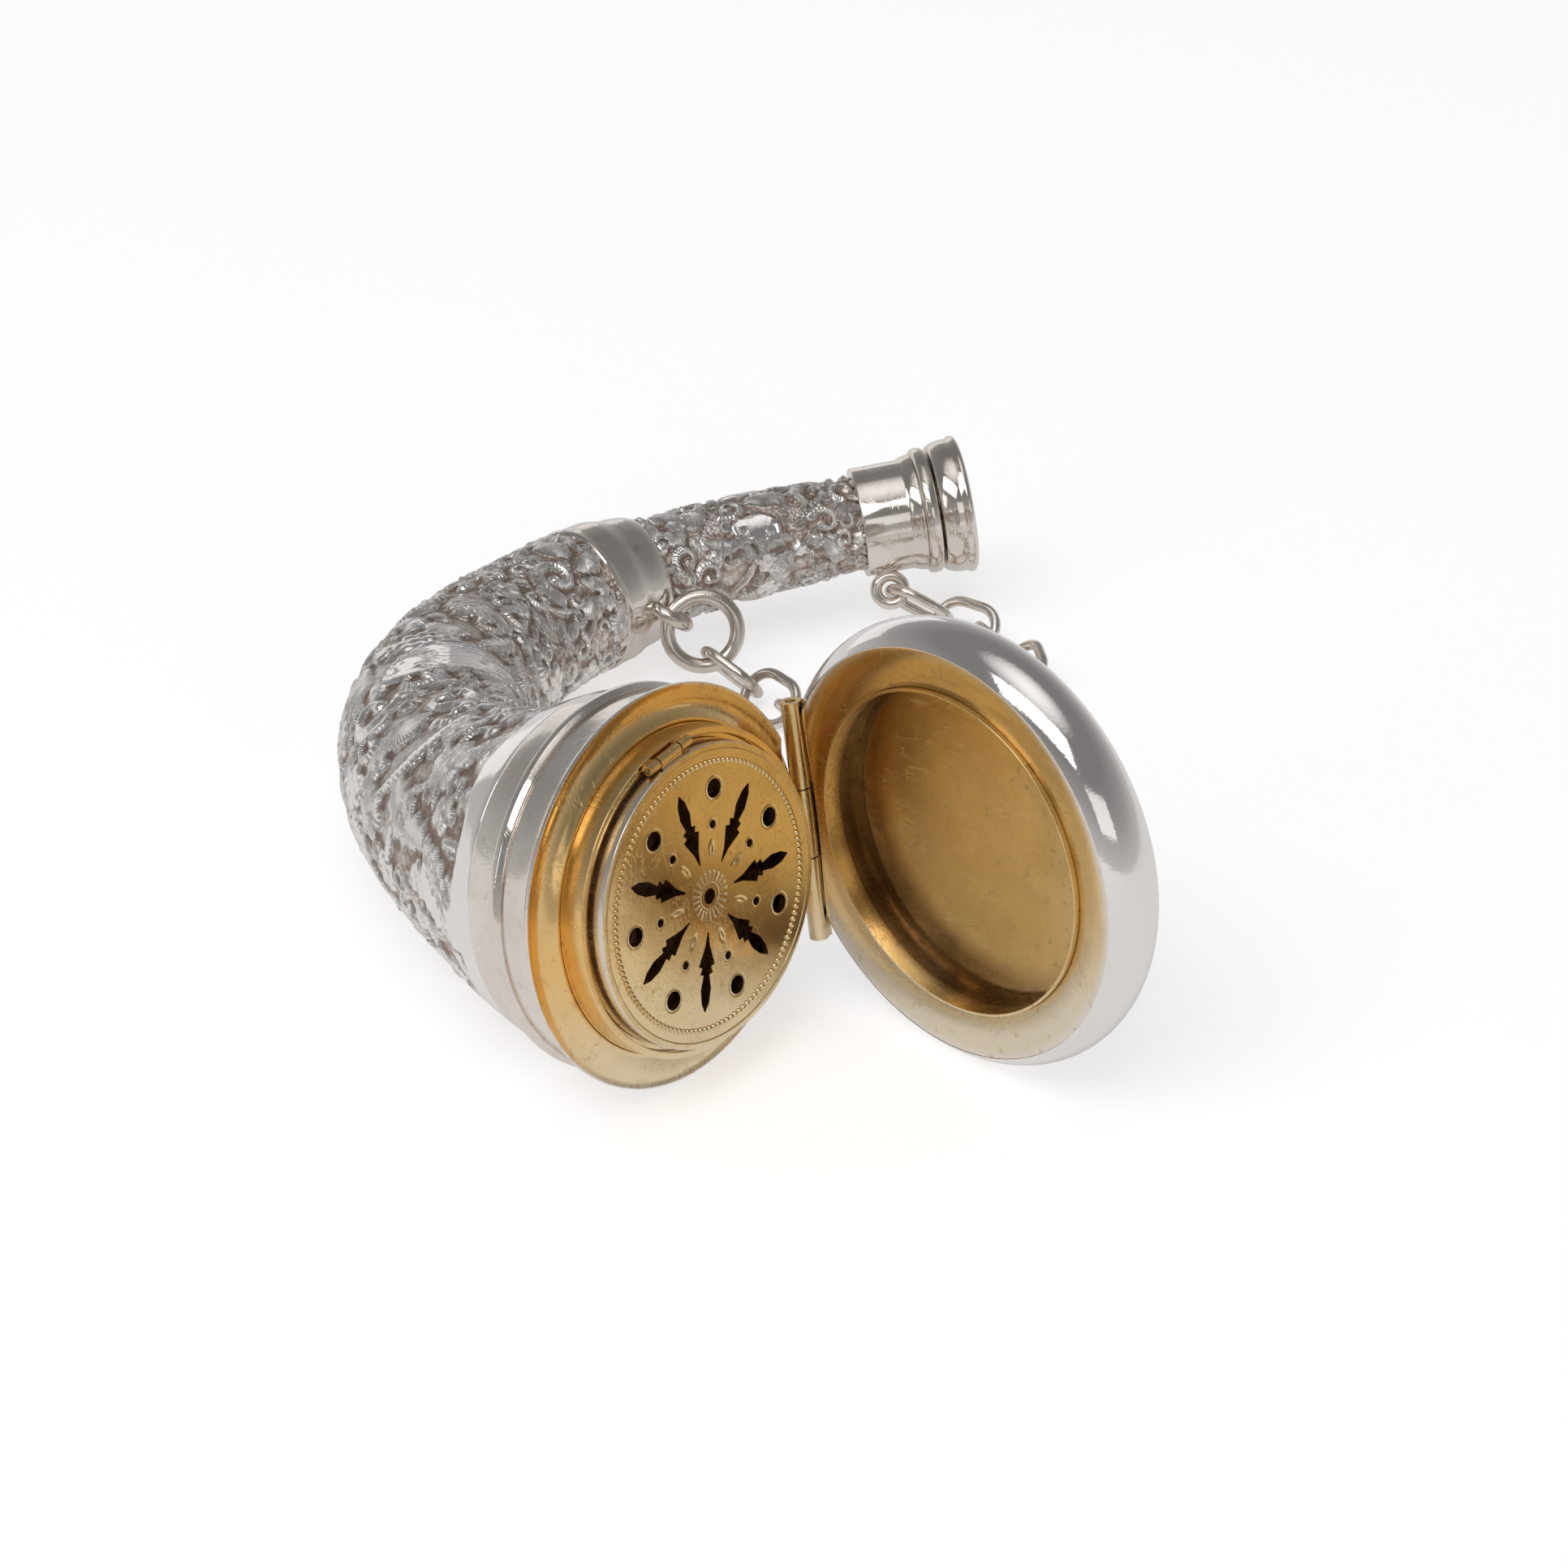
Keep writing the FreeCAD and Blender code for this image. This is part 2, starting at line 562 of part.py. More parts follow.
# Small end: collar, bead, scent liner, and the mouthpiece with its stopper
TIP = station(num["horn_straight"] + num["bend_run"] * len(BENDS))
turned("end_collar", [
    (size.tip_collar, 0, STRAIGHT),
    (size.tip_collar, size.tip_collar_end, STRAIGHT),
    (size.tip_flare, size.bead_start, STRAIGHT),
    (size.tip_bore, size.bead_start, STRAIGHT),
    (size.tip_bore, 0, STRAIGHT)], TIP)
turned("collar_moulding", [
    (size.tip_flare, size.bead_start, STRAIGHT),
    (size.tip_flare, size.bead_end, -size.bead_bulge),
    (size.tip_bore, size.bead_end, STRAIGHT),
    (size.tip_bore, size.bead_start, STRAIGHT)], TIP)
turned("mouthpiece", [
    (0, size.bell_start, STRAIGHT),
    (size.bell_neck, size.bell_start, STRAIGHT),
    (size.bell_mouth + 0.3, size.bell_end, size.bell_waist),
    (size.bell_cup, size.bell_end, STRAIGHT),
    (size.bell_cup_foot, size.bell_floor, STRAIGHT),
    (0, size.bell_floor, STRAIGHT)], TIP)
torus("mouthpiece_wire", size.bell_mouth, size.rim_wire,
      TIP * moved(0, 0, num["bell_end"] + num["rim_wire"]))
plug_flange = size.plug_radius + 0.3
turned("stopper_plug", [
    (0, size.plug_foot, STRAIGHT),
    (plug_flange, size.plug_foot, STRAIGHT),
    (plug_flange, size.cork_foot, STRAIGHT),
    (size.plug_radius, size.cork_foot, STRAIGHT),
    (size.plug_radius, size.cork_top, STRAIGHT),
    (plug_flange, size.cork_top, STRAIGHT),
    (plug_flange, size.bell_start, STRAIGHT),
    (0, size.bell_start, STRAIGHT)], TIP)
turned("stopper_cork", [
    (size.plug_radius, size.cork_foot, STRAIGHT),
    (size.cork_radius, size.cork_foot, STRAIGHT),
    (size.cork_radius, size.cork_top, STRAIGHT),
    (size.plug_radius, size.cork_top, STRAIGHT)], TIP)
turned("scent_liner", [
    (0, -size.liner_depth, STRAIGHT),
    (size.liner_radius, -size.liner_depth, STRAIGHT),
    (size.liner_radius, size.liner_rim, STRAIGHT),
    (size.tip_bore, size.liner_rim, STRAIGHT),
    (size.tip_bore, size.liner_top, STRAIGHT),
    (size.liner_bore, size.liner_top, STRAIGHT),
    (size.liner_bore, 0.3 - size.liner_depth, STRAIGHT),
    (0, 0.3 - size.liner_depth, STRAIGHT)], TIP)

# Eyes, ring and chain. The ring and the collar's eye face a viewer up and to the left.
VIEWER = turned_about(Z_AXIS, -50.44).multiply(turned_about(X_AXIS, 90 - 31.3))
TO_VIEWER = VIEWER.multVec(Z_AXIS)
VIEW_UP = VIEWER.multVec(Y_AXIS)


def facing(point, normal):
    """A frame at a point with its Z along a normal."""
    return FreeCAD.Placement(point, FreeCAD.Rotation(Z_AXIS, normal))


def unit(vector):
    return FreeCAD.Vector(vector).normalize()


def square_to(vector, axis):
    """The part of a vector that is square to an axis, at unit length."""
    return unit(vector - axis * vector.dot(axis))


def chain_route():
    """Heading, climb and roll of each link, in degrees."""
    fall = num["chain_start_height"] - num["chain_height"]
    rise = TIP_EYE.z - num["chain_height"]
    drop = math.degrees(math.asin(fall / num["link_pitch"]))
    climb = math.degrees(math.asin(rise / (num["link_pitch"] + HOLD)))
    route = [(num["chain_leave"], -drop, FIRST_ROLL), (num["chain_second"], 0.0, SECOND_ROLL)]
    for number in range(10):
        heading = num["chain_third"] + num["chain_turn"] * number
        route.append((heading, climb if number == 9 else 0.0,
                      LINK_ROLL if number % 2 else -LINK_ROLL))
    return route


def link_turn(heading, climb, roll):
    return (turned_about(Z_AXIS, heading) * turned_about(Y_AXIS, -climb)
            * turned_about(X_AXIS, roll))


def chain_frames():
    """Frames of the links, with X along each from its first joint to its second. Eight are laid
    on from the ring and four back from the collar's eye, with some slack where they meet."""
    turns = [link_turn(*row) for row in chain_route()]
    step = V(num["link_pitch"], 0, 0)
    head = []
    point = MOUTH_ON_TABLE + V(num["chain_x"], num["chain_y"], num["chain_start_height"])
    for turn in turns[:8]:
        head.append(FreeCAD.Placement(point, turn.Rotation))
        point = head[-1].multVec(step)
    tail = []
    point = TIP_EYE - turns[-1].multVec(V(HOLD, 0, 0))
    for turn in reversed(turns[8:]):
        point = point - turn.multVec(step)
        tail.insert(0, FreeCAD.Placement(point, turn.Rotation))
    return head + tail


# How far a link's end wire reaches past its joint
HOLD = num["link_wire"] + num["link_gap"] / 2
TIP_EYE = TIP.multVec(V(0, 0, num["tip_eye_at"])) - VIEW_UP * num["tip_eye_drop"]
MOUTH_ON_TABLE = V(num["mouth_x"], num["mouth_y"], 0)
LINK_FRAMES = chain_frames()

# The ring passes through the band's eye and holds the first link
band_centre = station(num["band_eye_at"])
outward = -unit(Z_AXIS.cross(band_centre.Rotation.multVec(Z_AXIS)))
EYE_CENTRE = band_centre.Base + outward * num["eye_reach"] - Z_AXIS * num["eye_drop"]
ring_foot = LINK_FRAMES[0].multVec(V(num["ring_hold"], 0, 0))
chord = ring_foot - EYE_CENTRE
ring_normal = square_to(TO_VIEWER, unit(chord))
sideways = unit(ring_normal.cross(chord))
if sideways.dot(VIEW_UP) < 0:
    sideways = -sideways
bow = math.sqrt(num["ring_loop"] ** 2 - chord.Length ** 2 / 4)
RING = EYE_CENTRE + chord * 0.5 + sideways * bow
torus("jump_ring", size.ring_loop, size.ring_wire, facing(RING, ring_normal))
eye_normal = square_to(ring_normal.cross(EYE_CENTRE - RING), outward)
cut("band_eye", torus("band_eye_ring", size.eye_loop, size.eye_wire,
                      facing(EYE_CENTRE, eye_normal)),
    joined("band_space", [doc.getObject("horn_band_outer"),
                          cylinder("neck_space", size.band_at_eye, -2, 2, band_centre)]))
cut("collar_eye", torus("collar_eye_ring", size.tip_eye_loop, size.tip_eye_wire,
                        facing(TIP_EYE, TO_VIEWER)),
    cylinder("collar_space", size.tip_collar, 0, size.tip_collar_end, TIP))


def oval_link():
    """One oval wire link: its joints with its neighbours lie at 0 and one pitch along X."""
    loop = size.link_pitch + size.link_wire * 2 + size.link_gap
    start = -(loop - size.link_pitch) / 2 + size.link_end
    run = loop - size.link_end * 2
    pieces = []
    for side, turn, centre in (("near", 90, start), ("far", -90, start + run)):
        bow = torus("link_bow_" + side, size.link_end, size.link_wire,
                    moved(centre.value, 0, 0) * turned_about(Z_AXIS, turn))
        bow.Angle3 = 180
        pieces.append(bow)
    for side, offset in (("left", size.link_end), ("right", -size.link_end)):
        pieces.append(cylinder("link_side_" + side, size.link_wire, 0, run,
                               moved(start.value, offset.value, 0) * turned_about(Y_AXIS, 90)))
    return joined("link_pattern", pieces)


pattern_link = oval_link()
doc.recompute()
for number, frame in enumerate(LINK_FRAMES, start=1):
    link = doc.addObject("Part::Feature", "chain_link_%02d" % number)
    link.Shape = pattern_link.Shape.copy()
    link.Placement = frame

NODES = """
horn_body horn_band horn_neck mouth_collar reeded_wire mouth_flange grille_seat seat_floor sponge
grille_frame grille_plate grille_border grille_hinge_fixed grille_hinge_moving grille_hinge_pin
lid_shell lid_lining lid_bezel lid_pan lid_knuckle_upper lid_knuckle_lower body_knuckle
lid_hinge_pin band_eye jump_ring collar_eye end_collar collar_moulding mouthpiece
mouthpiece_wire stopper_plug stopper_cork scent_liner
""".split() + ["chain_link_%02d" % number for number in range(1, 13)]

doc.recompute()
for item in doc.Objects:
    bad = [word for word in item.State if word in ("Invalid", "Error")]
    if bad:
        raise RuntimeError("%s is %s" % (item.Label, bad))
whole = FreeCAD.BoundBox()
for name in NODES:
    shape = doc.getObject(name).Shape
    if shape.isNull() or not shape.isValid() or not shape.Solids:
        raise RuntimeError("%s has no valid solid" % name)
    whole.add(shape.BoundBox)
    print("%-22s solids %d  volume %8.3f  lowest %6.3f" % (name, len(shape.Solids), shape.Volume,
                                                        shape.BoundBox.ZMin))
    shape.exportStep("parts/%s.step" % name)
print("box", whole)
for name, value in (("hinge point", LID.multVec(HINGE)),
                    ("hinge axis", LID.Rotation.multVec(Y_AXIS)),
                    ("grille hinge point", GRILLE_HINGE.Base),
                    ("grille hinge axis", GRILLE_HINGE.Rotation.multVec(Y_AXIS)),
                    ("mouth centre", MOUTH.Base), ("mouth axis", MOUTH.Rotation.multVec(Z_AXIS)),
                    ("tip start", TIP.Base), ("tip axis", TIP.Rotation.multVec(Z_AXIS)),
                    ("band eye", EYE_CENTRE), ("collar eye", TIP_EYE), ("ring", RING)):
    print("%-20s %9.4f %9.4f %9.4f" % (name, *value))
for frame in LINK_FRAMES:
    print("link joint %9.4f %9.4f %9.4f" % tuple(frame.Base))
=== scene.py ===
import math

import bpy
import numpy as np
from mathutils import Matrix, Vector


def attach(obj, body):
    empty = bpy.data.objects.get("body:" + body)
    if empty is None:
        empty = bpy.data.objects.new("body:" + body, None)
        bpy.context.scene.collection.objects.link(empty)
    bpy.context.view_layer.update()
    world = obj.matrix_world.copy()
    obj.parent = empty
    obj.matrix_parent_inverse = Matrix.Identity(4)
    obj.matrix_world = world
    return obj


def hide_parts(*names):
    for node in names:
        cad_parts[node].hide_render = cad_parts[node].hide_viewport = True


# A horn-shaped silver vinaigrette on a pale table. Shapes are worked out in millimetres.
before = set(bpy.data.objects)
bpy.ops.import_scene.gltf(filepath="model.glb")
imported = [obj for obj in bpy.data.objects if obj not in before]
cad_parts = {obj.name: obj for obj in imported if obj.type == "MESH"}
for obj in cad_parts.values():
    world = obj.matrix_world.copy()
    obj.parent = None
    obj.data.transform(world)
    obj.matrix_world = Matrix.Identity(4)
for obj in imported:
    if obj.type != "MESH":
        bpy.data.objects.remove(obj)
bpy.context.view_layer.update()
METRE = 0.001
FULL_TURN = 2 * np.pi
LONGEST_EASE, STRAIGHT_STEPS, BENT_STEPS = 0.3, 3, 14
rng = np.random.default_rng(1853)


# Placements of the horn, the mouth and the lid
def shift(x, y, z):
    """A move by x, y and z, as a matrix."""
    matrix = np.eye(4)
    matrix[:3, 3] = (x, y, z)
    return matrix


def turn(axis, degrees):
    """A turn about one of the axes, as a matrix."""
    angle = math.radians(degrees)
    first, second = {"X": (1, 2), "Y": (2, 0), "Z": (0, 1)}[axis]
    matrix = np.eye(4)
    matrix[first, first] = matrix[second, second] = math.cos(angle)
    matrix[first, second] = -math.sin(angle)
    matrix[second, first] = math.sin(angle)
    return matrix


MOUTH_TILT, MOUTH_ROLL, LID_OPEN = 10.47, -2.11, 84.0
HOME = shift(-24.61, -7.56, 13.084)
MOUTH = HOME @ turn("X", 90 - MOUTH_TILT) @ turn("Z", MOUTH_ROLL)
HINGE = shift(12.51, 0, 0.43)
LID = MOUTH @ HINGE @ turn("Y", LID_OPEN) @ np.linalg.inv(HINGE)
STRAIGHT_RUN, BEND_RUN = 6.6, 10.6
BENDS = np.radians((18.5, 18.0, 19.5, 22.0, 23.0, 20.0, 10.5))
BEND_RADII = BEND_RUN / BENDS


def stations(distance):
    """Frames of the horn's centre line: a straight run, then seven arcs of equal length that
    follow on from each other, each a turn about its own centre on the inner side."""
    distance = np.atleast_1d(np.asarray(distance, float))
    starts = [HOME @ turn("X", 270 - MOUTH_TILT) @ shift(0, 0, STRAIGHT_RUN)]
    for bend, radius in zip(BENDS, BEND_RADII):
        starts.append(starts[-1] @ shift(radius, 0, 0) @ turn("Y", math.degrees(bend))
                      @ shift(-radius, 0, 0))
    number = np.clip(((distance - STRAIGHT_RUN) // BEND_RUN).astype(int), 0, len(BENDS) - 1)
    run = distance - STRAIGHT_RUN - BEND_RUN * number
    radius = BEND_RADII[number]
    angle = np.maximum(run, 0) / radius
    local = np.tile(np.eye(4), (len(distance), 1, 1))
    local[:, 0, 0] = local[:, 2, 2] = np.cos(angle)
    local[:, 0, 2], local[:, 2, 0] = np.sin(angle), -np.sin(angle)
    local[:, 0, 3] = radius * (1 - np.cos(angle))
    local[:, 2, 3] = np.where(run < 0, run, radius * np.sin(angle))
    return np.array(starts)[number] @ local


TIP = stations(STRAIGHT_RUN + BEND_RUN * len(BENDS))[0]


def put(local, placement):
    """Points given by their three coordinates in the placement's frame."""
    return np.stack(local, -1) @ placement[:3, :3].T + placement[:3, 3]


# Meshes
def build(name, points, body, finish, nodes=(), slot=None, poles=(False, False), ring=False,
          values=None, sharp=40):
    """A closed surface from a grid of points, rows by columns. The columns close on themselves.
    With ring the rows do too, and otherwise each end is a pole or a flat cap."""
    rows, columns = points.shape[:2]
    vertices = points.reshape(-1, 3)
    index = np.arange(rows * columns).reshape(rows, columns)
    here = index if ring else index[:-1]
    after = np.roll(index, -1, 0) if ring else index[1:]
    quads = np.stack([here, np.roll(here, -1, 1), np.roll(after, -1, 1), after], -1).reshape(-1, 4)
    ends = []
    if not ring:
        for row, pole in ((0, poles[0]), (-1, poles[1])):
            centre = len(vertices)
            vertices = np.vstack([vertices, points[row].mean(0)])
            loop = index[row]
            order = (np.roll(loop, -1), loop) if row == 0 else (loop, np.roll(loop, -1))
            ends.append(np.stack([order[0], order[1], np.full(columns, centre)], -1))
    triangles = np.vstack([quads[:, [0, 1, 2]], quads[:, [0, 2, 3]], *ends])
    corners = vertices[triangles]
    if np.einsum("ij,ij->", corners[:, 0], np.cross(corners[:, 1], corners[:, 2])) < 0:
        quads, ends = quads[:, ::-1], [end[:, ::-1] for end in ends]
    faces = quads.tolist() + [face for end in ends for face in end.tolist()]
    mesh = bpy.data.meshes.new(name)
    mesh.from_pydata(vertices * METRE, [], faces)
    for label, grid in (values or {}).items():
        column = np.zeros(len(vertices), np.float32)
        column[:rows * columns] = grid.ravel()
        mesh.attributes.new(label, "FLOAT", "POINT").data.foreach_set("value", column)
    return place(name, mesh, body, finish, nodes, slot, sharp)


def place(name, mesh, body, finish, nodes=(), slot=None, sharp=40):
    """Put a mesh in the scene as a piece that rides on a body, and hide the CAD nodes it takes the
    place of.
    """
    mesh.shade_smooth()
    mesh.set_sharp_from_angle(angle=math.radians(sharp))
    mesh.materials.append(finish)
    piece = bpy.data.objects.new(name, mesh)
    bpy.context.scene.collection.objects.link(piece)
    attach(piece, body)
    if nodes:
        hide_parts(*nodes)
    return piece


def bent_edge(start, end, bow, shares):
    """Points at the given shares of a circular arc's chord. The arc stands off the chord's middle
    by bow, to the left."""
    start, end = np.array(start, float), np.array(end, float)
    chord = end - start
    length = np.hypot(*chord)
    to_left = np.array((-chord[1], chord[0])) / length
    stand_off = np.zeros(len(shares))
    if bow:
        circle = (length ** 2 / 4 + bow ** 2) / (2 * abs(bow))
        sagitta = np.sqrt(np.maximum(circle ** 2 - ((shares - 0.5) * length) ** 2, 0))
        stand_off = np.sign(bow) * (sagitta - (circle - abs(bow)))
    return start + shares[:, None] * chord + stand_off[:, None] * to_left


def arc(start, end, bow, steps):
    """A circular arc between two points, with both of them."""
    return bent_edge(start, end, bow, np.linspace(0, 1, steps))


def outline(corners, fillet):
    """A closed profile of (radius, height, bow) corners: bow is how far the edge that arrives at
    a corner bulges to its left, on a circle. Corners are eased over the fillet's length, each by
    a parabola."""
    points = np.array([corner[:2] for corner in corners], float)
    edges = []
    for index, start in enumerate(points):
        end, bow = points[(index + 1) % len(points)], corners[(index + 1) % len(points)][2]
        share = min(fillet / np.hypot(*(end - start)), LONGEST_EASE)
        shares = np.linspace(share, 1 - share, BENT_STEPS if bow else STRAIGHT_STEPS)
        edges.append(bent_edge(start, end, bow, shares))
    t = np.array((0.25, 0.5, 0.75))[:, None]
    profile = []
    for index, corner in enumerate(points):
        start, end = edges[index - 1][-1], edges[index][0]
        profile.append(start * (1 - t) ** 2 + corner * 2 * t * (1 - t) + end * t ** 2)
        profile.append(edges[index])
    return np.vstack(profile)


def round_about(count):
    """Evenly spaced angles once round a circle."""
    return np.linspace(0, FULL_TURN, count, endpoint=False)


def spun(profile, placement, columns=256):
    """A profile of (radius, height) turned round the placement's Z."""
    angle = round_about(columns)
    radius, height = profile[:, 0:1], profile[:, 1:2]
    return put([radius * np.cos(angle), radius * np.sin(angle), height + 0 * angle], placement)


def turned(name, corners, placement, body, finish, nodes, slot, columns=256, fillet=0.06,
           sharp=40, bare=None, fade=0.12, soot=None):
    """A turned ring: a closed profile carried round an axis. Beyond the bare radius the gilding
    is worn off, and above the given height the inner side is darkened with painted shade."""
    profile = outline(corners, fillet)
    values = {}
    if bare:
        worn = np.clip((profile[:, 0] - bare) / fade, 0, 1)
        values["bare"] = np.tile(worn[:, None], (1, columns))
    # Painted shade above the given height, for the shadow in the undercut.
    if soot:
        dark = np.clip((profile[:, 1] - soot) / 0.25, 0, 1)
        values["soot"] = np.tile(dark[:, None], (1, columns))
    return build(name, spun(profile, placement, columns), body, finish, nodes, slot, ring=True,
                 values=values, sharp=sharp)


def along_horn(distance, angle, radius):
    """Points of a tube on the horn's centre line: radius is a grid over distance and angle."""
    frames = stations(distance)[:, None]
    across = (np.cos(angle)[None, :, None] * frames[..., :3, 0]
              + np.sin(angle)[None, :, None] * frames[..., :3, 1])
    return frames[..., :3, 3] + radius[..., None] * across


def notched(piece, low, high, placement):
    """Cut a box out of a piece, given by two corners in the placement's frame."""
    corners = put(np.array([[x, y, z] for x in (low[0], high[0]) for y in (low[1], high[1])
                            for z in (low[2], high[2])]).T, placement)
    cutter_mesh = bpy.data.meshes.new("cutter")
    cutter_mesh.from_pydata(corners * METRE, [], [(0, 1, 3, 2), (4, 6, 7, 5), (0, 4, 5, 1),
                                                  (2, 3, 7, 6), (0, 2, 6, 4), (1, 5, 7, 3)])
    cutter = bpy.data.objects.new("cutter", cutter_mesh)
    bpy.context.scene.collection.objects.link(cutter)
    cut = piece.modifiers.new("notch", "BOOLEAN")
    cut.operation, cut.solver, cut.object = "DIFFERENCE", "EXACT", cutter
    shape = bpy.data.meshes.new_from_object(
        piece.evaluated_get(bpy.context.evaluated_depsgraph_get()))
    piece.modifiers.clear()
    piece.data = shape
    shape.shade_smooth()
    shape.set_sharp_from_angle(angle=math.radians(30))
    bpy.data.objects.remove(cutter)


# Node trees
class Wire:
    """A node's output. Arithmetic on wires and numbers adds Math nodes."""

    def __init__(self, tree, socket):
        self.tree, self.socket = tree, socket

    def math(self, operation, *others, clamp=False):
        """A Math node fed by this wire and the others, in that order."""
        return self.tree.node("ShaderNodeMath", {"operation": operation, "use_clamp": clamp},
                              dict(enumerate((self,) + others)))

    def __add__(self, other): return self.math("ADD", other)
    def __radd__(self, other): return self.math("ADD", other)
    def __sub__(self, other): return self.math("SUBTRACT", other)
    def __mul__(self, other): return self.math("MULTIPLY", other)
    def __rmul__(self, other): return self.math("MULTIPLY", other)
    def __truediv__(self, other): return self.math("DIVIDE", other)

    def __rsub__(self, other):
        return self.tree.node("ShaderNodeMath", {"operation": "SUBTRACT"}, {0: other, 1: self})

    def sin(self): return self.math("SINE")
    def absolute(self): return self.math("ABSOLUTE")
    def clamped(self): return self.math("ADD", 0.0, clamp=True)
    def power(self, exponent): return self.math("POWER", exponent)
    def greatest(self, other): return self.math("MAXIMUM", other)

    def step(self, low, high):
        """0 below low, 1 above high, and smooth in between."""
        return self.tree.node("ShaderNodeMapRange", {"interpolation_type": "SMOOTHSTEP"},
                              {"Value": self, "From Min": low, "From Max": high})


class Tree:
    """The node tree of a material or a world, and the ways to add nodes to it."""

    def __init__(self, owner):
        owner.use_nodes = True
        self.tree = owner.node_tree
        self.tree.nodes.clear()

    def node(self, kind, settings=None, values=None, output=0):
        """Add a node: its settings first, then its sockets' values or links."""
        made = self.tree.nodes.new(kind)
        for key, value in (settings or {}).items():
            if key == "stops":
                ramp = made.color_ramp
                while len(ramp.elements) < len(value):
                    ramp.elements.new(0.5)
                for element, (position, colour) in zip(ramp.elements, value):
                    element.position, element.color = position, (*colour, 1)
            else:
                setattr(made, key, value)
        for key, value in (values or {}).items():
            if isinstance(value, Wire):
                self.tree.links.new(value.socket, made.inputs[key])
            else:
                made.inputs[key].default_value = value
        return Wire(self, made.outputs[output]) if made.outputs else None

    def blend(self, factor, first, second):
        """A colour between two, by a factor."""
        def colour(value):
            return value if isinstance(value, Wire) else (*value, 1)
        return self.node("ShaderNodeMix", {"data_type": "RGBA"}, {
            0: factor, 6: colour(first), 7: colour(second)}, output=2)


class Finish(Tree):
    """One material, worked out on Object coordinates."""

    def __init__(self, name):
        self.material = bpy.data.materials.new(name)
        super().__init__(self.material)
        self.place = self.node("ShaderNodeTexCoord", output="Object")

    def noise(self, size, detail=3.0, roughness=0.55, distortion=0.0, place=None):
        """Cloudy noise whose patches are about size millimetres wide."""
        return self.node("ShaderNodeTexNoise", None, {
            "Vector": place or self.place, "Scale": 1000.0 / size, "Detail": detail,
            "Roughness": roughness, "Distortion": distortion})

    def stretched(self, scale, turned):
        """Coordinates turned and scaled by axes, to draw a pattern out in one direction."""
        return self.node("ShaderNodeMapping", None, {
            "Vector": self.place, "Scale": scale, "Rotation": turned})

    def height_above_table(self):
        """Millimetres above the table."""
        split = self.node("ShaderNodeSeparateXYZ", None, {0: self.place}, output="Z")
        return split * 1000.0

    def attribute(self, name):
        """A value that the mesh carries at its vertices."""
        return self.node("ShaderNodeAttribute", {"attribute_name": name}, output="Fac")

    def bump(self, height, depth):
        """A bump whose height of 1 stands for depth in millimetres."""
        return self.node("ShaderNodeBump", None, {
            "Height": height, "Distance": depth * METRE, "Strength": 1.0})

    def scratches(self):
        """Fine straight rubs in a few directions, thin where the noise crosses its middle."""
        found = None
        for number, angle in enumerate((0.35, 1.25, 2.2)):
            lines = self.noise(0.55, 2.0, 0.5, 0.4, self.stretched(
                (1.0, 0.09, 0.6), (0.5 * number, 0.3 + angle, angle)))
            thin = 1 - ((lines - 0.5).absolute() * 38.0).clamped()
            patch = self.noise(3.5, 1.0, place=self.stretched((1, 1, 1), (angle, 0, 1.0)))
            thin = thin * patch.step(0.5, 0.66)
            found = thin if found is None else found.greatest(thin)
        return found

    def done(self, colour, roughness, metallic, normal):
        """The material, with its colour, roughness and normal joined to one shader."""
        shader = self.node("ShaderNodeBsdfPrincipled", None, {
            "Base Color": colour, "Roughness": roughness, "Metallic": metallic, "Normal": normal})
        self.node("ShaderNodeOutputMaterial", None, {"Surface": shader})
        return self.material


BARE_SILVER = (0.87, 0.81, 0.75)
# Dark brown of painted shade, for corners that lie in shadow.
PAINTED_SHADE = (0.16, 0.08, 0.03)
DULL_GILT = (0.42, 0.26, 0.11)
# Pale gilt tone used low down, towards the table.
PALE_LOW_GILT = (0.88, 0.77, 0.56)


def metal(name, clean, worn, dull, roughness, rub=0.004, tone=6.0, low=None, reach=12.0):
    """Polished metal: its colour drifts between a clean, a worn and a dull tone, and fine rubs
    cross it. Gilding turns paler low down, towards the table. It is bare where the mesh says so,
    and darkened with painted shade where the mesh marks corners in shadow."""
    made = Finish(name)
    cloud = made.noise(tone, 4.0, 0.6)
    spots = made.noise(0.9, 4.0, 0.65, 0.5)
    rubs = made.scratches()
    colour = made.blend(cloud.step(0.38, 0.66), clean, worn)
    # Paler low down, towards the table, and bare silver where the mesh says so.
    if low:
        paler_low_down = (made.height_above_table() + (cloud - 0.5) * 9.0).step(reach, reach - 10.0)
        colour = made.blend(paler_low_down * 0.85, colour, low)
        colour = made.blend(made.attribute("bare"), colour, BARE_SILVER)
    colour = made.blend(spots.step(0.56, 0.78) * 0.55, colour, dull)
    # Painted shade, where the mesh marks corners that lie in shadow.
    if low:
        colour = made.blend(made.attribute("soot") * (0.8 + 0.4 * (spots - 0.5)), colour, PAINTED_SHADE)
    rough = roughness + 0.10 * (cloud - 0.5) + 0.16 * spots.step(0.5, 0.8) + rubs * 0.12
    grain = made.noise(0.22, 3.0, 0.6)
    normal = made.bump(rubs * -1.0 + grain * 0.5 + made.noise(2.6, 2.0) * 3.0, rub)
    return made.done(colour, rough.clamped(), 1.0, normal)


